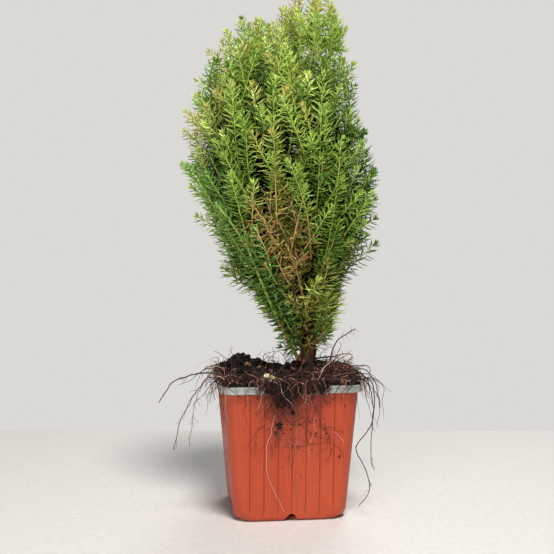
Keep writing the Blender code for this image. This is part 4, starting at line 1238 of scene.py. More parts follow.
def clump_paths(rng):
    """Fibres from the clump's crest down over the rim, to somewhere round its lower edge."""
    count = CLUMP_FIBRES
    x = np.clip(rng.normal(-1.5, 9.0, count), -16.0, 18.5)
    low = np.interp(x, CLUMP_PLACES, CLUMP_LOWEST) - 2.0
    y = -33.4 - 3.6 * rng.random(count)
    p = np.column_stack([x, y, CLUMP_CREST - 1.0 + 2.2 * rng.random(count)])
    paths = [p]
    d = unit(np.column_stack([rng.normal(0, 0.8, count), -0.5 * rng.random(count), -rng.random(count)]))
    length = (p[:, 2] - low) * rng.uniform(0.5, 1.2, count)
    for _ in range(CLUMP_STEPS):
        d = unit(d + rng.normal(size=(count, 3)) * np.array([0.55, 0.25, 0.3]) + np.array([0, 0, -0.3]))
        p = p + d * (length / CLUMP_STEPS * 1.3)[:, None]
        by_rim = p[:, 2] > RIM_TOP - RIM_TALL - 0.4
        beside = np.where(by_rim, -RIM_OUT / 2 - 0.3, -wall_half(p[:, 2]) - 0.5)
        p[:, 1] = np.clip(p[:, 1], -38.6, beside)
        paths.append(p)
    return np.stack(paths, axis=1)


FACE_FIBRES = 42
FACE_STEPS = 20


def make_face_fibres():
    """Fine roots that cling to the pot's front face."""
    rng = np.random.default_rng(SEED + 6)
    count = FACE_FIBRES
    x = np.clip(rng.normal(2.0, 10.0, count), -20, 24)
    z = rng.uniform(38, 62, count)
    heading = rng.normal(-math.pi / 2, 0.8, count)
    step = rng.uniform(5, 24, count) / FACE_STEPS
    rows = [(x, z)]
    for _ in range(FACE_STEPS):
        heading = heading + rng.normal(size=count) * 0.34
        x = np.clip(x + np.cos(heading) * step, -24, 25)
        z = np.clip(z + np.sin(heading) * step, 2.0, RIM_TOP - RIM_TALL - 0.6)
        rows.append((x, z))
    px, pz = np.array(rows).transpose(1, 2, 0)
    paths = np.stack([px, -wall_half(pz) - 0.2, pz], axis=-1)
    radii = fibre_radii(count, FACE_STEPS, rng, (0.05, 0.11), 0.4)
    kinds = rng.choice(len(ROOTS), count, p=[0.12, 0.34, 0.36, 0.12, 0.06])
    root_piece("face_fibres", paths, radii, kinds)


STRAND_STEPS = 44
STRAND_KINDS = {  # places in ROOTS
    "left_long": 1,
    "left_hanging": 2,
    "left_short": 3,
    "right_upright": 1,
    "right_arch": 0,
    "right_long": 0,
    "right_hanging": 1,
    "front_left": 4,
    "front_right": 3,
}
HAIRS_EACH = 9
HAIR_STEPS = 10


def wave_of(paths, fine, seed):
    """Smooth noise along paths, with waves of a given length."""
    return soft_noise((paths / fine).reshape(-1, 3), seed).reshape(len(paths), -1)


def make_strands():
    """The long single roots, each along its solid, with hairs on those that hang loose."""
    rng = np.random.default_rng(SEED + 7)
    paths, radii = [], []
    for radius, foot, points in LOOSE_ROOTS.values():
        place = to_pot([(*foot, 0.0)])[0]
        first = np.array([*foot, float(soil_top([place[0]], [place[1]])[0]) + 0.4])
        paths.append(to_pot(smooth_path([first, *points], STRAND_STEPS + 1)))
        radii.append(radius * 0.85)
    for radius, points in FRONT_ROOTS.values():
        knots = [(x, -wall_half(max(z, 4.0)) - radius - 0.12, z) for x, z in points]
        paths.append(smooth_path(knots, STRAND_STEPS + 1))
        radii.append(radius * 0.52)
    paths = np.stack(paths)
    loose = len(LOOSE_ROOTS)
    paths[:, :, 2] += 0.5 * wave_of(paths, 3.2, 61)
    paths[:, :, 0] += 0.45 * wave_of(paths, 2.9, 62)
    paths[:loose, :, 1] += 0.4 * wave_of(paths[:loose], 2.7, 63)
    paths[:, :, 2] = np.maximum(paths[:, :, 2], 0.55)
    thick = np.array(radii)[:, None] * (1.0 - 0.4 * np.linspace(0, 1, STRAND_STEPS + 1))
    thick = thick * (1 + 0.15 * wave_of(paths, 1.3, 65))
    kinds = list(STRAND_KINDS.values())
    root_piece("root_strands", paths, thick, kinds, [f"root_{name}" for name in STRAND_KINDS], 6)
    make_hairs(paths[:loose], rng)


def make_hairs(strands, rng):
    """Short side roots on the loose strands."""
    hairs = []
    for strand in strands:
        for _ in range(HAIRS_EACH):
            at = int(rng.integers(6, STRAND_STEPS - 2))
            p = strand[at]
            d = unit(strand[at + 1] - p + rng.normal(size=3) * 0.9 * np.array([1, 0.6, 1]))
            length = rng.uniform(2.0, 7.0)
            line = [p]
            for _ in range(HAIR_STEPS):
                d = unit(d + rng.normal(size=3) * 0.3 + np.array([0, 0, -0.12]))
                p = p + d * length / HAIR_STEPS
                line.append(p)
            hairs.append(line)
    hairs = keep_outside(np.array(hairs).reshape(-1, 3)).reshape(len(hairs), -1, 3)
    hairs[:, :, 2] = np.maximum(hairs[:, :, 2], 0.5)
    hairs = hairs[within_reach(hairs)]
    radii = np.tile(0.1 * (1 - 0.5 * np.linspace(0, 1, HAIR_STEPS + 1)), (len(hairs), 1))
    root_piece("root_hairs", hairs, radii, rng.choice(3, len(hairs)))


# ---------------------------------------------------------------- crown and limbs, by the solids' rule


def crown_at(height):
    """The crown's middle and half width at a height, or at each of an array of heights."""
    return np.interp(height, CROWN[:, 0], CROWN[:, 1]), np.interp(height, CROWN[:, 0], CROWN[:, 2])


def crown_fill(points):
    """Below 1 inside the crown's envelope, for an array of points."""
    x, y, z = np.atleast_2d(points).T
    middle, half = crown_at(z)
    found = np.hypot((x - middle) / half, y / (half * CROWN_DEPTH))
    return np.where((z < CROWN[0, 0]) | (z > CROWN[-1, 0]), 9.0, found)


DENTS = [  # plan place, half sizes, and the share of the reach left out there
    ((-46.0, 0.0, 153.0), (14.0, 30.0, 11.0), 0.15),
    ((40.0, 0.0, 121.0), (14.0, 30.0, 9.0), 0.26),
    ((34.0, 0.0, 104.0), (12.0, 30.0, 15.0), 0.24),
    ((38.0, 0.0, 211.0), (12.0, 30.0, 12.0), 0.12),
    ((-50.0, 0.0, 188.0), (12.0, 30.0, 8.0), 0.1),
    ((-34.0, 0.0, 129.0), (12.0, 30.0, 6.0), 0.12),
    ((-22.0, 0.0, 110.0), (12.0, 30.0, 7.0), 0.14),
    ((-2.0, -44.0, 148.0), (20.0, 22.0, 26.0), 0.24),
    ((-4.5, 0.0, 247.5), (6.5, 30.0, 6.5), 0.8),
]
DEPTH_HEIGHTS = [88.0, 116.0, 188.0, 238.0, 250.0]
DEPTH_MORE = [0.1, -0.08, 0.0, 0.7, 1.0]  # how much nearer the light the needles at those heights stand
YOUNG_ABOVE = 226.0  # no inner shoots darkened with painted shade from this height up
WITHERED = [  # places where old growth shows between the living shoots: plan place and half sizes
    ((-5.0, -36.0, 144.0), (14.0, 26.0, 22.0)),
    ((7.0, -30.0, 126.0), (8.0, 22.0, 18.0)),
    ((20.0, 34.0, 150.0), (18.0, 22.0, 26.0)),
    ((-30.0, 26.0, 134.0), (16.0, 22.0, 18.0)),
]


# The long stems that show in front: the group that each is joined to, its thickness, the kinds of its lower
# and upper part, and rows of x, height and share of the crown's reach.
LONG_SHOOTS = {
    "left_low": ("low", 1.1, (ORANGE, LIME), [
        (8.2, 75.0, 0.6), (4.4, 80.5, 0.7), (-3.9, 98.4, 0.92), (-11.8, 117.6, 0.95),
        (-19.8, 136.7, 0.97), (-31.7, 152.5, 1.0),
    ]),
    "left_inner": ("low", 0.36, (YELLOW, LIME), [
        (-0.7, 93.6, 0.8), (-5.4, 116.0, 0.9), (-8.6, 130.3, 0.98), (-13.4, 141.4, 1.0),
    ]),
    "right_front": ("front_right", 0.45, (YELLOW, YELLOW), [
        (12.6, 96.0, 0.5), (13.6, 107.0, 0.75), (20.0, 128.7, 0.9), (24.8, 162.0, 0.98),
        (26.4, 181.0, 1.03),
    ]),
    "centre": ("front_right", 0.42, (YELLOW, YELLOW), [
        (12.2, 112.0, 0.4), (12.8, 128.7, 0.75), (10.5, 149.3, 0.92), (4.1, 168.3, 0.98),
        (1.7, 173.1, 1.0),
    ]),
    "orange": ("front_left", 0.5, (YELLOW, LIME), [
        (2.0, 118.0, 0.5), (-6.2, 138.2, 0.78), (-13.4, 150.9, 0.85), (-21.4, 163.6, 0.95),
        (-28.5, 176.2, 1.0),
    ]),
    "centre_left": ("front_left", 0.36, (YELLOW, LIME), [
        (-2.0, 130.0, 0.5), (-3.9, 149.3, 0.85), (-4.7, 174.6, 0.95), (-5.4, 195.1, 0.98),
        (-4.7, 212.3, 1.0),
    ]),
    "right_centre": ("front_right", 0.36, (YELLOW, LIME), [
        (14.0, 140.0, 0.6), (16.0, 162.0, 0.88), (16.8, 187.2, 0.96), (17.6, 202.9, 0.98),
        (18.4, 215.4, 1.0),
    ]),
    "top_centre": ("front_left", 0.36, (YELLOW, LIME), [
        (9.0, 160.0, 0.6), (7.3, 182.5, 0.85), (4.1, 202.9, 0.93), (0.9, 221.7, 0.96),
        (0.1, 227.9, 1.0),
    ]),
    "left_up": ("left", 0.36, (YELLOW, LIME), [
        (-20.0, 160.0, 0.7), (-22.9, 180.9, 0.9), (-24.2, 196.6, 0.95), (-25.3, 210.7, 1.0),
    ]),
    "left_mid": ("left", 0.36, (YELLOW, LIME), [
        (-15.0, 155.0, 0.7), (-17.4, 171.5, 0.9), (-18.2, 187.2, 0.97), (-19.8, 195.1, 1.0),
    ]),
    "far_left": ("left", 0.36, (YELLOW, LIME), [
        (-22.0, 136.0, 0.75), (-34.1, 152.5, 0.92), (-42.0, 165.2, 0.97), (-47.6, 172.3, 1.03),
    ]),
    "right_mid": ("right", 0.36, (YELLOW, LIME), [
        (20.0, 122.0, 0.7), (29.5, 139.8, 0.9), (35.9, 149.3, 0.95), (42.3, 158.8, 1.0),
    ]),
}
BLUISH_SHOOTS = ("left_low", "left_inner", "far_left")
LIME_ABOVE = 205.0
OUTLINE_TIPS = [  # x and height of the shoots that stand out of the crown's outline
    (45.6, 170.0), (39.5, 190.0), (45.6, 147.0), (45.4, 134.0), (33.5, 113.0), (34.5, 224.0),
    (35.0, 213.0), (30.0, 241.0), (24.5, 251.0), (15.5, 258.0), (4.5, 251.0), (-21.5, 247.0),
    (-12.5, 245.0), (-29.0, 240.0), (-37.5, 230.0), (-43.5, 216.0), (-49.5, 201.0), (-50.0, 191.0),
    (-50.5, 174.0), (-46.5, 163.0), (-44.0, 148.0), (-31.0, 122.0), (-12.5, 106.0),
]


def bump_sum(points, rows):
    """Sum of soft bumps, each (place, half sizes, height)."""
    total = np.zeros(len(points))
    for place, half, height in rows:
        total = total + height * np.exp(-(((points - np.array(place)) / np.array(half)) ** 2).sum(axis=1))
    return total


def crown_share(points):
    """Below 1 where shoots may end: the envelope with its dents and a ragged edge."""
    points = np.atleast_2d(points)
    ragged = 0.95 + 0.08 * soft_noise(points / 6.5, 91) + 0.04 * soft_noise(points / 3.1, 92)
    return crown_fill(points) / np.clip(ragged - bump_sum(points, DENTS), 0.05, 1.0)


def withered_at(points):
    """How far growth at each point has died and browned, from 0 to 1."""
    points = np.atleast_2d(points)
    rows = [(place, half, 1.0) for place, half in WITHERED]
    return np.clip(bump_sum(points, rows) + 0.16 * soft_noise(points / 9.0, 95), 0.0, 1.0)


def on_crown(x, height, share):
    """The place toward the viewer at a share of the crown's reach."""
    middle, half = crown_at(height)
    across = (x - middle) / half
    return np.array((x, -0.9 * CROWN_DEPTH * half * math.sqrt(max(share**2 - across**2, 0.01)), height))


def flow(point):
    """The way that growth runs at a point: up and outward from below the trunk."""
    return unit(np.asarray(point, float) - FLOW_FOOT)


def mass_seeds():
    """The middle of each mass of foliage, by its name."""
    seeds = {}
    for k, place in enumerate(LOW_RING):
        angle = 2 * math.pi * (k + 0.5) / len(LOW_RING)
        row = k % 2
        x = LOW_MIDDLE[row] + LOW_REACH[row] * math.cos(angle)
        seeds[place] = np.array((x, LOW_REACH[row] * math.sin(angle), LOW_HEIGHTS[row]))
    for k, side in enumerate(SIDES):
        angle = 2 * math.pi * k / len(SIDES)
        for rank, height in enumerate(ODD_HEIGHTS if k % 2 else EVEN_HEIGHTS):
            middle, half = crown_at(height)
            reach = half * SEED_SHARE
            place = (middle + reach * math.cos(angle), reach * CROWN_DEPTH * math.sin(angle), height)
            seeds[f"{side}_{rank + 1}"] = np.array(place)
    seeds["top"] = np.array((TRUNK_PATH[-1, 0], 0.0, LEADER_HEIGHT))
    return seeds


def level(name):
    """0 for the low ring, and then each side's masses from 1 up."""
    return 0 if name in LOW_RING else int(name.rsplit("_", 1)[1])


def cell_walls(name, seeds):
    """Places on the walls of a mass's cell, halfway to its neighbours, and the ways out through them."""
    own = seeds[name]
    spots, ways = [], []
    for other, place in seeds.items():
        if other != name:
            way = unit(place - own)
            spots.append((own + place) / 2 - way * 0.2)
            ways.append(way)
    return np.array(spots), np.array(ways)


def room(points, walls):
    """How far points lie inside a cell."""
    points = np.atleast_2d(points)
    return np.min(((walls[0][None] - points[:, None]) * walls[1][None]).sum(-1), axis=1)


def trunk_at(height):
    """The trunk's middle and radius at a height."""
    found = between([height], TRUNK_PATH[:, 2], TRUNK_PATH)[0]
    return found[:3], found[3]


def bough_route(name, tip):
    """Where a mass's limb leaves the trunk's axis, and the handles of its curve."""
    far = math.hypot(tip[0] - TRUNK_FOOT, tip[1])
    place = LOW_RING.index(name) if name in LOW_RING else SIDES.index(name.rsplit("_", 1)[0])
    least = LOWEST_FORK + FORK_STEP * level(name) + FORK_TURN * place
    fork = max(least, tip[2] - far * FORK_SLOPE)
    axis, thick = trunk_at(fork)
    out = unit(np.array((tip[0] - axis[0], tip[1] - axis[1], 0.0)))
    first = unit(out * 0.78 + np.array((0, 0, 0.62)))
    start = axis + out * (thick + 0.39 + BOUGH_ROOT * 0.62)
    reach = np.linalg.norm(tip - start)
    handles = [start, start + first * reach * 0.25, tip - flow(tip) * reach * 0.4, tip]
    return axis, handles


def bezier(handles, count):
    """Points along a cubic curve."""
    t = np.linspace(0, 1, count)[:, None]
    a, b, c, d = handles
    return a * (1 - t) ** 3 + 3 * b * t * (1 - t) ** 2 + 3 * c * t * t * (1 - t) + d * t**3


def bough_ends(seeds):
    """Each mass's limb: where it leaves the trunk, its path, and where the mass's stem starts."""
    found = {}
    for name, middle in seeds.items():
        if name == "top":
            found[name] = (None, None, TRUNK_PATH[-1, :3])
            continue
        walls = cell_walls(name, seeds)
        below = LOW_BELOW[LOW_RING.index(name) % 2] if name in LOW_RING else BOUGH_BELOW
        tip = middle - flow(middle) * below
        while (room(tip, walls)[0] < 2.0 or crown_fill(tip)[0] > 0.8) and below > 2:
            below -= 1
            tip = middle - flow(middle) * below
        axis, handles = bough_route(name, tip)
        found[name] = (axis, handles, tip)
    return found


# ---------------------------------------------------------------- trunk and boughs with bark


TRUNK_SIDES = 36
BOUGH_SIDES = 10
BARK_INSET = 0.15  # how far the bark's cracks lie within the trunk's radius


def bark_tube(path, radii, sides, relief, seed, stretch):
    """Rings of surface points round one limb, and how high its bark stands at each, from 0 to 1."""
    ring = path_rings(path[None], sides)[0]
    surface = path[:, None] + ring * radii[:, None, None]
    height = rough_noise((surface / stretch).reshape(-1, 3), seed, 4).reshape(len(path), sides)
    plates = np.clip(0.5 + 1.1 * height, 0.0, 1.0)
    return surface + ring * (relief * (plates - 0.5))[:, :, None], plates


def bark_piece(name, limbs, material, nodes):
    """One piece from limbs, each given by its path, its rings of surface points and its bark's height."""
    points, faces, plates, total = [], [], [], 0
    for path, surface, plate in limbs:
        points += [surface.reshape(-1, 3), path[:1], path[-1:]]
        plates += [plate.ravel(), [0.3, 0.5]]
        faces.append(total + tube_faces(*plate.shape))
        total += plate.size + 2
    made = mesh_object(name, to_pot(np.concatenate(points)), np.concatenate(faces), [material], smooth=True)
    point_values(made, "relief", np.concatenate(plates))
    dress(made, nodes)


def make_trunk():
    """The trunk's bark from a flat cut at soil level, with ribs on its flared foot."""
    rows = TRUNK_PATH
    foot, top = rows[0, 2], rows[-1, 2]
    flare = foot + 16.0
    heights = np.concatenate([np.linspace(foot, flare, 80)[:-1], np.linspace(flare, top, 250)])
    line = smooth_path(rows[:, :3], 400)
    path = np.column_stack([between(heights, line[:, 2], line[:, :2]), heights])
    radii = np.interp(heights, rows[:, 2], rows[:, 3]) * np.interp(heights, [foot, flare + 8.0], [0.84, 1.0])
    relief = np.interp(heights, [foot, flare + 10.0, 162.0, top], [1.2, 0.9, 0.45, 0.2])
    surface, plate = bark_tube(path, radii - BARK_INSET, TRUNK_SIDES, 1.0, 71, (1.3, 1.3, 5.0))
    thick = (radii - BARK_INSET)[:, None] + (plate - 0.45) * relief[:, None]
    angle = 2 * math.pi * np.arange(TRUNK_SIDES) / TRUNK_SIDES
    ribbed = np.clip((foot + 6.0 - heights) / 6.0, 0.0, 1.0)[:, None]
    thick = thick * (1.0 + 0.13 * ribbed * np.cos(3 * angle + 0.7) + 0.06 * ribbed * np.cos(7 * angle))
    surface = path[:, None] + unit(surface - path[:, None]) * thick[:, :, None]
    surface[0, :, 2] = foot
    bark_piece("trunk_bark", [(path, surface, plate)], BARK, ["trunk"])


def make_boughs(ends):
    """The boughs' bark, each limb with a collar where it leaves the trunk."""
    limbs = []
    nodes = []
    for number, (name, (axis, handles, _)) in enumerate(ends.items()):
        if handles is None:
            continue
        path = bezier(handles, 60)
        collar = np.linspace(0, 1, 7)[2:-1, None]
        path = np.concatenate([axis + (path[0] - axis) * collar, path])
        share = np.linspace(0, 1, len(path))
        radii = 0.7 - 0.25 * share + 0.5 * np.exp(-share / 0.04)
        surface, plate = bark_tube(path, radii, BOUGH_SIDES, 0.2, 80 + number, (0.9, 0.9, 3.2))
        limbs.append((path, surface, plate * np.interp(share, [0.0, 0.35], [0.1, 1.0])[:, None]))
        nodes.append(f"bough_{name}")
    bark_piece("bough_bark", limbs, YOUNG_BARK, nodes)


# ---------------------------------------------------------------- shoots and needles


NEEDLE_SECTIONS = [(0.16, 0.62), (0.62, 1.0)]
NEEDLE_FACES = np.array(
    [(0, 2, 1), (0, 3, 2), (0, 1, 3)]
    + [(a, b, b + 3) for a, b in ((1, 2), (2, 3), (3, 1))]
    + [(a, b + 3, a + 3) for a, b in ((1, 2), (2, 3), (3, 1))]
    + [(7, 4, 5), (7, 5, 6), (7, 6, 4)]
)


def needle_shape():
    """A needle's points as (across, along, keel): its root, two three-sided sections and its point."""
    points = [(0.0, 0.0, 0.0)]
    for along, wide in NEEDLE_SECTIONS:
        points += [(-0.5 * wide, along, 0.0), (0.5 * wide, along, 0.0), (0.0, along, -0.45 * wide)]
    return np.array([*points, (0.0, 1.0, 0.0)])


NEEDLE_SHAPE = needle_shape()


def needle_mesh(roots, ways, sides, ups, lengths, widths, bows):
    """Joined needles: keeled blades, widest past their middle, bowed toward the shoot's tip."""
    across, along, keel = NEEDLE_SHAPE.T
    points = roots[:, None] + ways[:, None] * (along[None, :, None] * lengths[:, None, None])
    points = points + sides[:, None] * (across[None, :, None] * widths[:, None, None])
    points = points + ups[:, None] * (keel[None, :, None] * widths[:, None, None])
    points = points + ups[:, None] * ((along**2 - along)[None, :, None] * (bows * lengths)[:, None, None])
    faces = NEEDLE_FACES[None] + (np.arange(len(roots)) * len(NEEDLE_SHAPE))[:, None, None]
    return points.reshape(-1, 3), faces.reshape(-1, 3)


class Spray:
    """A shoot and how its needles stand.

    It has a path and thickness, needle tints (inner, mostly painted shade; old; young), stem kinds (lower,
    upper), the bare share at its foot, the step between its whorls, the needles in each, and whether they
    are old or broad.
    """

    def __init__(self, path, thick, tints, stem, bare=0.08, step=1.85, each=4, old=False, broad=1.0):
        self.path = path
        self.thick = thick
        self.tints = tints
        self.stem = stem
        self.bare = bare
        self.step = step
        self.each = each
        self.old = old
        self.broad = broad


TUFT = 5  # needles at the very tip of a living shoot
WHORL_TURN = 0.83
PAINTED_SHADE_DEPTH = 0.72  # below this share of the crown's reach, needles have the shoot's inner tint, painted shade
YOUNG_DEPTH = 0.79  # from this share on, most have its young tint
GREENS_TO_BROWN = 0.62  # share of the needles in a withered place that are brown


def needle_spots(spray, total, rng):
    """How far along its shoot each needle stands, and its angle round it."""
    whorls = np.arange(spray.bare * total, total - 0.5, spray.step)
    whorls = whorls + rng.uniform(-0.2, 0.2, len(whorls))
    s = np.repeat(whorls, spray.each)
    angle = np.repeat(np.arange(len(whorls)) * WHORL_TURN, spray.each)
    angle = angle + np.tile(np.arange(spray.each) * 2 * math.pi / spray.each, len(whorls))
    tuft = 0 if spray.old else TUFT
    s = np.concatenate([s + rng.uniform(-0.25, 0.25, len(s)), total - rng.uniform(0, 0.6, tuft)])
    angle = np.concatenate([angle, np.arange(tuft) * 2 * math.pi / TUFT])
    angle = angle + rng.normal(0, 0.16, len(s)) + rng.uniform(0, 6.28)
    return np.clip(s, 0.0, total), angle


def needle_tints(spray, at, rest, rng):
    """Tints by depth in the crown, which is painted shade, and by distance from the shoot's tip, and which
    needles are kept.
    """
    count = len(at)
    depth = crown_share(at) + np.interp(at[:, 2], DEPTH_HEIGHTS, DEPTH_MORE) + rng.normal(0, 0.07, count)
    # painted shade: deep needles take the inner tint, the next ones the old tint, and only outer ones may
    # take the young tint
    tint = np.where(depth < PAINTED_SHADE_DEPTH, spray.tints[0], spray.tints[1])
    young = rng.random(count) < np.interp(rest, [0.0, 8.0, 24.0, 50.0], [0.95, 0.9, 0.72, 0.45])
    tint = np.where((depth >= YOUNG_DEPTH) & young, spray.tints[2], tint)
    gold, lime = hues("gold", "lime")
    tint = np.where((tint == gold) & (rest > rng.uniform(3.0, 12.0, count)), lime, tint)
    if spray.old:
        return tint, np.ones(count, bool)
    dead = withered_at(at) > rng.uniform(0.3, 0.85, count)
    browns = rng.choice(hues("tan", "rust", "olive"), count, p=[0.5, 0.18, 0.32])
    tint = np.where(dead & (rng.random(count) < GREENS_TO_BROWN), browns, tint)
    return tint, ~dead | (rng.random(count) < 0.7)


def needles_of(spray, rng):
    """Roots, ways, sides, ups, lengths, widths, bows and tints of a shoot's needles, in whorls."""
    path = spray.path
    run = np.concatenate([[0.0], np.cumsum(np.linalg.norm(np.diff(path, axis=0), axis=1))])
    total = run[-1]
    s, angle = needle_spots(spray, total, rng)
    at = between(s, run, path)
    ahead = between(np.minimum(s + 0.8, total), run, path)
    behind = between(np.maximum(s - 0.8, 0.0), run, path)
    along = unit(ahead - behind)
    first = unit(np.cross(along, np.array([0.31, 0.87, 0.38])))
    second = np.cross(along, first)
    out = first * np.cos(angle)[:, None] + second * np.sin(angle)[:, None]
    rest = total - s
    lean = np.interp(rest, [0.0, 1.0, 3.0, 9.0, 40.0], [20.0, 40.0, 54.0, 64.0, 76.0])
    lean = np.radians(lean + rng.normal(0, 7, len(s)))
    ways = along * np.cos(lean)[:, None] + out * np.sin(lean)[:, None]
    if spray.old:
        ways = unit(ways + rng.normal(size=ways.shape) * 0.28)
    ups = unit(along - ways * (along * ways).sum(axis=1, keepdims=True))
    side = np.cross(ways, ups)
    length = np.interp(rest, [0.0, 2.0, 5.0, 12.0, 60.0], [3.0, 4.6, 6.0, 6.6, 6.2])
    length = length * rng.uniform(0.84, 1.12, len(s))
    length = length * np.interp(at[:, 2], [120.0, 150.0, 195.0, 235.0], [1.15, 1.0, 1.0, 0.82])
    width = rng.uniform(0.7, 0.98, len(s)) * spray.broad * (0.7 if spray.old else 1.0)
    bow = rng.uniform(0.02, 0.28, len(s))
    length = length * (0.85 if spray.old else 1.0)
    tint, kept = needle_tints(spray, at, rest, rng)
    return [values[kept] for values in (at, ways, side, ups, length, width, bow, tint)]


def tints_for(tip, share, rng, low):
    """A shoot's inner, old and young tints by where it ends, the inner one mostly painted shade, and its
    stem's lower and upper kinds.
    """
    x, height = tip[0], tip[2]
    high = np.clip((height - 168.0) / 80.0, 0.0, 1.0)
    choice = rng.random()
    # shoots that end deep in the crown get dark tints all through, painted shade
    if share < 0.74 and height < YOUNG_ABOVE:
        if height > 196.0:
            return hues("dark", "deep", "mid"), (BROWN, YELLOW)
        if choice < 0.14:
            return hues("shade", "rust", "olive"), (BROWN, ORANGE)
        return hues("shade", "dark", "deep"), (BROWN, YELLOW)
    stem = (YELLOW, LIME) if choice < 0.6 + 0.3 * high else (STRAW, YELLOW)
    if x > 38.0 and height < 190.0:
        return hues("shade", "deep", "mid"), stem
    if low:
        return low_tints(x, choice, stem)
    if x < -10 and height < 172 and rng.random() < 0.55:
        return hues("shade", "mid", "blue"), stem
    right = x > 14
    if (choice < 0.04 + 0.4 * high and not right) or height > 250.0:
        return hues("dark", "olive", "gold"), stem
    if choice < 0.26 + 0.6 * high and not right:
        return hues("shade", "mid", "lime"), stem
    if choice < (0.62 if right and height < 190.0 else 0.8) or height > 225.0:
        return hues("shade", "mid", "fresh"), stem
    return hues("shade", "deep", "mid"), stem


def low_tints(x, choice, stem):
    """Tints and stem kinds in the low ring: bluer on the left, more olive on the right."""
    if choice < (0.25 if x < 6 else 0.1):
        return hues("shade", "deep", "blue"), stem
    inner = "olive" if x > 12.0 and choice > 0.25 else "deep"
    if choice < 0.45:
        return hues("shade", inner, "fresh"), (ORANGE, YELLOW)
    if choice < 0.74:
        return hues("shade", inner, "lime"), (STRAW, YELLOW)
    return hues("dark", "olive", "gold"), (ORANGE, STRAW)


def bent_shoot(base, target, ahead, rng):
    """A path that leaves its parent at a wide angle and turns along the way it grows."""
    way = target - base
    length = np.linalg.norm(way)
    across = way / length - ahead * np.dot(way / length, ahead)
    middle = base + way * 0.46 + across * length * 0.24 + rng.normal(size=3) * length * 0.035
    t = np.linspace(0, 1, 9)[:, None]
    return base * (1 - t) ** 2 + 2 * middle * t * (1 - t) + target * t * t


def old_spray(path, thick, rng, bare=0.05):
    """A shoot whose needles have died and still hang on."""
    kinds = rng.permutation(hues("tan", "rust", "olive"))
    stem = (ORANGE, STRAW) if rng.random() < 0.7 else (BROWN, ORANGE)
    return Spray(path, thick, tuple(kinds), stem, bare, 1.5, 3, True)


OUTER_SHOOTS = {"top": 26}
INNER_SHOOTS = {"top": 6, "right_1": 25, "right_2": 22}
FAR = 1e3
SEARCHED = 11000  # places tried for a mass's shoots to end at
SEARCH_HALF = 37
TRUNK_CLEAR = 5.0
SHORTEST, LONGEST = 9.0, 56.0  # lengths of a side shoot
LEAST_TURN, MOST_TURN = 8, 84  # degrees between a side shoot and its parent
OLD_SHARE = 0.34  # share of the shoots that are old where growth has withered


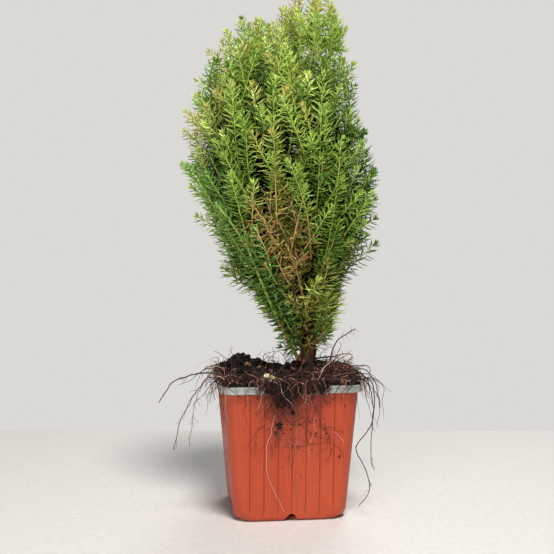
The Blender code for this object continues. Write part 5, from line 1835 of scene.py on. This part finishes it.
class Mass:
    """The shoots of one mass, grown by the solids' rule with finer steps."""

    def __init__(self, name, seeds, start, rng):
        self.rng = rng
        self.low = name in LOW_RING
        self.bases, self.tangents, self.depths = [], [], []
        walls = cell_walls(name, seeds)
        way = flow(start)
        best = 10.0
        for reach in np.arange(10.0, 52.0, 1.0):
            tip = start + way * reach
            if crown_share(tip)[0] < 1.0 and room(tip, walls)[0] > 0.3:
                best = reach
        tip = start + way * best
        sway = rng.normal(size=3) * 1.4
        shares = np.linspace(0, 1, 13)
        self.heart = np.stack([start + (tip - start) * t + sway * math.sin(math.pi * t) for t in shares])
        self.sprays = [Spray(self.heart, 0.5, *tints_for(tip, 0.9, rng, self.low), 0.0)]
        spots = seeds[name] + rng.uniform(-SEARCH_HALF, SEARCH_HALF, (SEARCHED, 3))
        shares = crown_share(spots)
        good = (room(spots, walls) > 0.3) & (shares < 1.0) & (spots[:, 2] > CROWN[0, 0] + 3.0)
        trunk = between(spots[:, 2], TRUNK_PATH[:, 2], TRUNK_PATH[:, :2])
        good &= np.hypot(*(spots[:, :2] - trunk).T) > TRUNK_CLEAR
        self.spots, self.shares = spots[good], shares[good]
        self.near = np.full(len(self.spots), FAR)

    def pass_by(self, path):
        """Takes the places near a new shoot as filled."""
        upper = path[len(path) // 3 :]
        far = np.linalg.norm(self.spots[:, None] - upper[None], axis=-1).min(axis=1)
        self.near = np.minimum(self.near, far)

    def offer(self, path, depth):
        """Lets other shoots start along a path; depth counts the forks before it."""
        inner = path[1:-2] if len(path) > 6 else path[1:-1]
        following = path[2:-1] if len(path) > 6 else path[2:]
        self.bases.append(inner)
        self.tangents.append(unit(following - inner))
        self.depths.append(np.full(len(inner), depth))

    def reach_for(self, target, share, usual, outward_more=0.0):
        """Adds a shoot from the best place on the limbs to a target. Says whether one fits."""
        rng = self.rng
        bases = np.concatenate(self.bases)
        depths = np.concatenate(self.depths)
        ways = target - bases
        length = np.linalg.norm(ways, axis=1)
        outward = unit(np.array((target[0] - 8.0, target[1], 0.0)))
        spread = np.clip((150.0 - target[2]) / 70.0, 0.0, 0.8) + outward_more
        ahead = unit(flow(target) + outward * spread + rng.normal(size=3) * 0.28)
        straight = ways / length[:, None]
        turn = (straight * np.concatenate(self.tangents)).sum(1)
        turn = np.degrees(np.arccos(np.clip(turn, -1, 1)))
        lean = np.degrees(np.arccos(np.clip(straight @ ahead, -1, 1)))
        most = 26.0 + 62.0 * np.clip((46.0 - length) / 36.0, 0, 1) + 40.0 * outward_more
        fits = (length > SHORTEST) & (length < LONGEST) & (lean < most)
        fits &= (turn > LEAST_TURN) & (turn < MOST_TURN)
        if not fits.any():
            return False
        cost = np.where(fits, np.abs(length - usual) * 0.5 + 0.5 * lean + 3.0 * depths, 1e6)
        pick = int(np.argmin(cost))
        path = bent_shoot(bases[pick], target, ahead, rng)
        thick = 0.26 + 0.005 * length[pick]
        if rng.random() < OLD_SHARE * withered_at(path[-2])[0] - 0.04 and outward_more == 0:
            self.sprays.append(old_spray(path, thick, rng))
        else:
            step, broad = (2.7, 1.12) if self.low else (1.95, 1.0)
            looks = tints_for(target, share, rng, self.low)
            self.sprays.append(Spray(path, thick, *looks, 0.05, step, broad=broad))
        self.pass_by(path)
        self.offer(path, depths[pick] + 1)
        return True

    def fill(self, count, least, most, usual):
        """Adds shoots to the emptiest places whose share of the crown's reach lies within limits."""
        wanted = (self.shares >= least) & (self.shares < most)
        for _ in range(count):
            order = np.argsort(-(self.near * wanted))[:40]
            tried = (self.reach_for(self.spots[k], float(self.shares[k]), usual) for k in order if wanted[k])
            if not any(tried):
                break


def grow(name, seeds, ends, rng):
    """The shoots of one mass: those that stand out, outer ones, inner ones, and needles along its limb."""
    _, handles, start = ends[name]
    mass = Mass(name, seeds, start, rng)
    mass.offer(mass.heart, 0)
    mass.pass_by(mass.heart)
    if handles is not None:
        mass.offer(bezier(handles, 25)[9:], 0)
    for x, height in OUTLINE_TIPS:
        spot = np.array((x, rng.uniform(-9, 3), height))
        if min(seeds, key=lambda other: np.linalg.norm(seeds[other] - spot)) == name:
            mass.reach_for(spot, 1.0, 34.0, 0.5)
    mass.fill(OUTER_SHOOTS.get(name, 10 if mass.low else 15), 0.86, 1.0, 37.0)
    mass.near[:] = FAR
    mass.pass_by(mass.heart)
    mass.fill(INNER_SHOOTS.get(name, 6 if mass.low else 18), 0.0, 0.8, 24.0)
    if handles is None:
        return mass.sprays
    limb = bezier(handles, 25)[5:]
    if crown_share(limb).mean() > 0.62:
        tints = hues("dark", "mid", "fresh")
        return mass.sprays + [Spray(limb, 0.0, tints, (STRAW, STRAW), 0.0, 1.7, 3, True)]
    return mass.sprays + [old_spray(limb, 0.0, rng, 0.0)]


def long_shoots(rng):
    """The long stems in front, by name of the group that each is joined to."""
    found = {}
    for name, (group, thick, stem, rows) in LONG_SHOOTS.items():
        path = smooth_path([on_crown(*row) for row in rows], 26)
        tints = hues("olive", "mid", "lime" if path[-1, 2] > LIME_ABOVE else "fresh")
        if name in BLUISH_SHOOTS:
            tints = hues("deep", "mid", "blue")
        sprays = found.setdefault(group, [])
        if name == "orange":
            sprays.append(old_spray(path[:17], 0.62, rng))
            path = path[16:]
        sprays.append(Spray(path, thick, tints, stem, 0.06, broad=1.12))
    return found


FOOT_SHOOTS = 10


def foot_shoots(rng):
    """Short shoots low on the trunk, just above the soil, half of them with dead needles."""
    sprays = []
    for number in range(FOOT_SHOOTS):
        turn = 2 * math.pi * (number + rng.random()) / FOOT_SHOOTS
        out = np.array((math.cos(turn), math.sin(turn), 0.0))
        start = trunk_at(rng.uniform(80.0, 86.0))[0] + out * 2.0
        reach = rng.uniform(6.0, 12.0)
        rise = rng.uniform(0.1, 0.8)
        t = np.linspace(0, 1, 9)[:, None]
        path = start + out * reach * t + np.array((0.0, 0.0, reach * rise)) * t**1.6
        if number % 2:
            tints = hues("dark", "rust", "olive")
            sprays.append(Spray(path, 0.28, tints, (BROWN, ORANGE), 0.2, 2.3, 3, True))
        else:
            tints = hues("dark", "deep", "mid")
            sprays.append(Spray(path, 0.28, tints, (BROWN, ORANGE), 0.15, 2.3, 4))
    return sprays


def leader_needles(rng):
    """Old needles along the upper trunk, which has a solid and bark of its own."""
    heights = np.linspace(150, TRUNK_PATH[-1, 2] - 2.0, 30)
    return old_spray(between(heights, TRUNK_PATH[:, 2], TRUNK_PATH[:, :3]), 0.0, rng, 0.0)


TWIG_SIDES = 5
TWIG_JOINTS = 9


def make_needles(group, sprays, nodes, rng):
    """One piece of all the needles of a group of shoots."""
    found = [needles_of(spray, rng) for spray in sprays]
    *shape, tint = [np.concatenate(values) for values in zip(*found)]
    points, faces = needle_mesh(*shape)
    tint = np.repeat(tint, len(NEEDLE_FACES))
    made = mesh_object(f"needles_{group}", to_pot(points), faces, NEEDLE_MATERIALS, tint)
    dress(made, nodes)


def make_twigs(group, sprays, nodes):
    """The stems of the shoots, browned where growth has withered."""
    sprays = [spray for spray in sprays if spray.thick > 0]
    paths, thick = [], []
    for spray in sprays:
        last = len(spray.path) - 1
        paths.append(between(np.linspace(0, last, TWIG_JOINTS), np.arange(last + 1), spray.path))
        thick.append(spray.thick * (1.0 - 0.5 * np.linspace(0, 1, TWIG_JOINTS)))
    paths = np.stack(paths)
    points, faces, owner = tubes(paths, thick, TWIG_SIDES)
    walls = np.repeat(np.arange(TWIG_JOINTS - 1), 2 * TWIG_SIDES)
    row = np.tile(np.concatenate([walls, np.tile([0, TWIG_JOINTS - 2], TWIG_SIDES)]), len(sprays))
    stems = np.array([spray.stem for spray in sprays])
    kinds = stems[owner, (row >= TWIG_JOINTS // 3).astype(int)]
    browned = withered_at(paths[owner, row]) > 0.5
    kinds = np.where(browned, np.where(owner % 3 == 0, ORANGE, STRAW), kinds)
    made = mesh_object(f"twigs_{group}", to_pot(points), faces, STEMS, kinds, smooth=True)
    dress(made, nodes)


def make_foliage(seeds, ends):
    """Needles and twigs of the low ring, of each side and of the top."""
    rng = np.random.default_rng(SEED + 10)
    groups = {"low": LOW_RING}
    for side in SIDES:
        groups[side] = [name for name in seeds if name.rsplit("_", 1)[0] == side]
    groups["top"] = ["top"]
    extra = long_shoots(rng)
    for group, names in groups.items():
        sprays = extra.get(group, [])
        for name in names:
            sprays += grow(name, seeds, ends, rng)
        if group == "low":
            sprays += foot_shoots(rng)
        if group == "top":
            sprays.append(leader_needles(rng))
        nodes = [f"foliage_{name}" for name in names]
        make_needles(group, sprays, nodes, rng)
        make_twigs(group, sprays, nodes)


# ---------------------------------------------------------------- stage


TABLE_SIZE = (2.4, 1.5, 0.03)
LAMPS = {  # place, size, power and colour
    "key": ((0.08, -0.62, 1.25), 0.4, 21.0, (1.0, 0.98, 0.95)),
    "fill": ((-0.55, -0.9, 0.36), 0.5, 4.6, (0.98, 0.98, 1.0)),
    "back_light": ((0.3, 0.8, 0.9), 0.6, 5.0, (1.0, 1.0, 1.0)),
}
LAMPS_AIM = Vector((0.0, 0.0, 0.13))


def make_table():
    """A plain pale table top, flush with the floor."""
    shape = bmesh.new()
    bmesh.ops.create_cube(shape, size=1.0)
    bmesh.ops.scale(shape, vec=TABLE_SIZE, verts=shape.verts)
    middle = (0.0, TABLE_EDGE - TABLE_SIZE[1] / 2, -TABLE_SIZE[2] / 2)
    bmesh.ops.translate(shape, vec=middle, verts=shape.verts)
    bmesh.ops.bevel(shape, geom=list(shape.edges), offset=0.002, segments=2, affect="EDGES")
    table = linked("table_top", block_of(shape, "table_top"))
    m = Shade("pale_table", srgb(212, 206, 200), 0.6)
    grain = m.noise(300.0, 5.0, 0.7)
    m.colour(m.ramp(grain, [(0.3, srgb(202, 199, 195)), (0.7, srgb(215, 213, 210))]))
    table.data.materials.append(m.material)
    table.rotation_euler = (0, 0, PLANT_TURN)


def make_world():
    """A dim even light from all round, and a paler wall where the camera looks past the plant."""
    world = bpy.data.worlds.new("studio")
    bpy.context.scene.world = world
    world.use_nodes = True
    tree = world.node_tree
    back = tree.nodes["Background"]
    back.inputs["Color"].default_value = (*srgb(*ROOM_GLOW), 1.0)
    wall = tree.nodes.new("ShaderNodeBackground")
    wall.inputs["Color"].default_value = (*srgb(*WALL_SEEN), 1.0)
    seen = tree.nodes.new("ShaderNodeLightPath")
    either = tree.nodes.new("ShaderNodeMixShader")
    tree.links.new(seen.outputs["Is Camera Ray"], either.inputs["Fac"])
    tree.links.new(back.outputs["Background"], either.inputs[1])
    tree.links.new(wall.outputs["Background"], either.inputs[2])
    tree.links.new(either.outputs["Shader"], tree.nodes["World Output"].inputs["Surface"])


def make_lamps():
    """A key light from above in front, a soft one from the left and one from behind."""
    for name, (place, size, power, colour) in LAMPS.items():
        data = bpy.data.lights.new(name, "AREA")
        data.shape = "DISK"
        data.size = size
        data.energy = power
        data.color = colour
        lamp = linked(name, data)
        lamp.location = place
        lamp.rotation_euler = (LAMPS_AIM - Vector(place)).to_track_quat("-Z", "Y").to_euler()
        lamp.visible_camera = False


def make_camera():
    """The camera where the photo was taken from."""
    data = bpy.data.cameras.new("camera")
    data.sensor_width = SENSOR_WIDE
    data.lens = PHOTO_REACH / PHOTO_WIDE * SENSOR_WIDE
    data.clip_start = 0.01
    camera = linked("camera", data)
    stand = Matrix.Rotation(PLANT_TURN, 4, "Z") @ Matrix.Translation(CAMERA_PLACE)
    camera.matrix_world = stand @ Matrix.Rotation(math.radians(90 - CAMERA_DIP), 4, "X")
    bpy.context.scene.camera = camera


make_camera()
make_table()
make_world()
make_lamps()
bpy.context.scene.view_settings.view_transform = "Standard"
make_pot()
make_rim()
make_soil()
SOIL_RNG = np.random.default_rng(SEED + 2)
make_crumbs(SOIL_RNG)
make_chips(SOIL_RNG)
make_stones(SOIL_RNG)
make_specks()
make_root_mat()
make_clump()
make_face_fibres()
make_strands()
SEEDS = mass_seeds()
ENDS = bough_ends(SEEDS)
make_trunk()
make_boughs(ENDS)
make_foliage(SEEDS, ENDS)
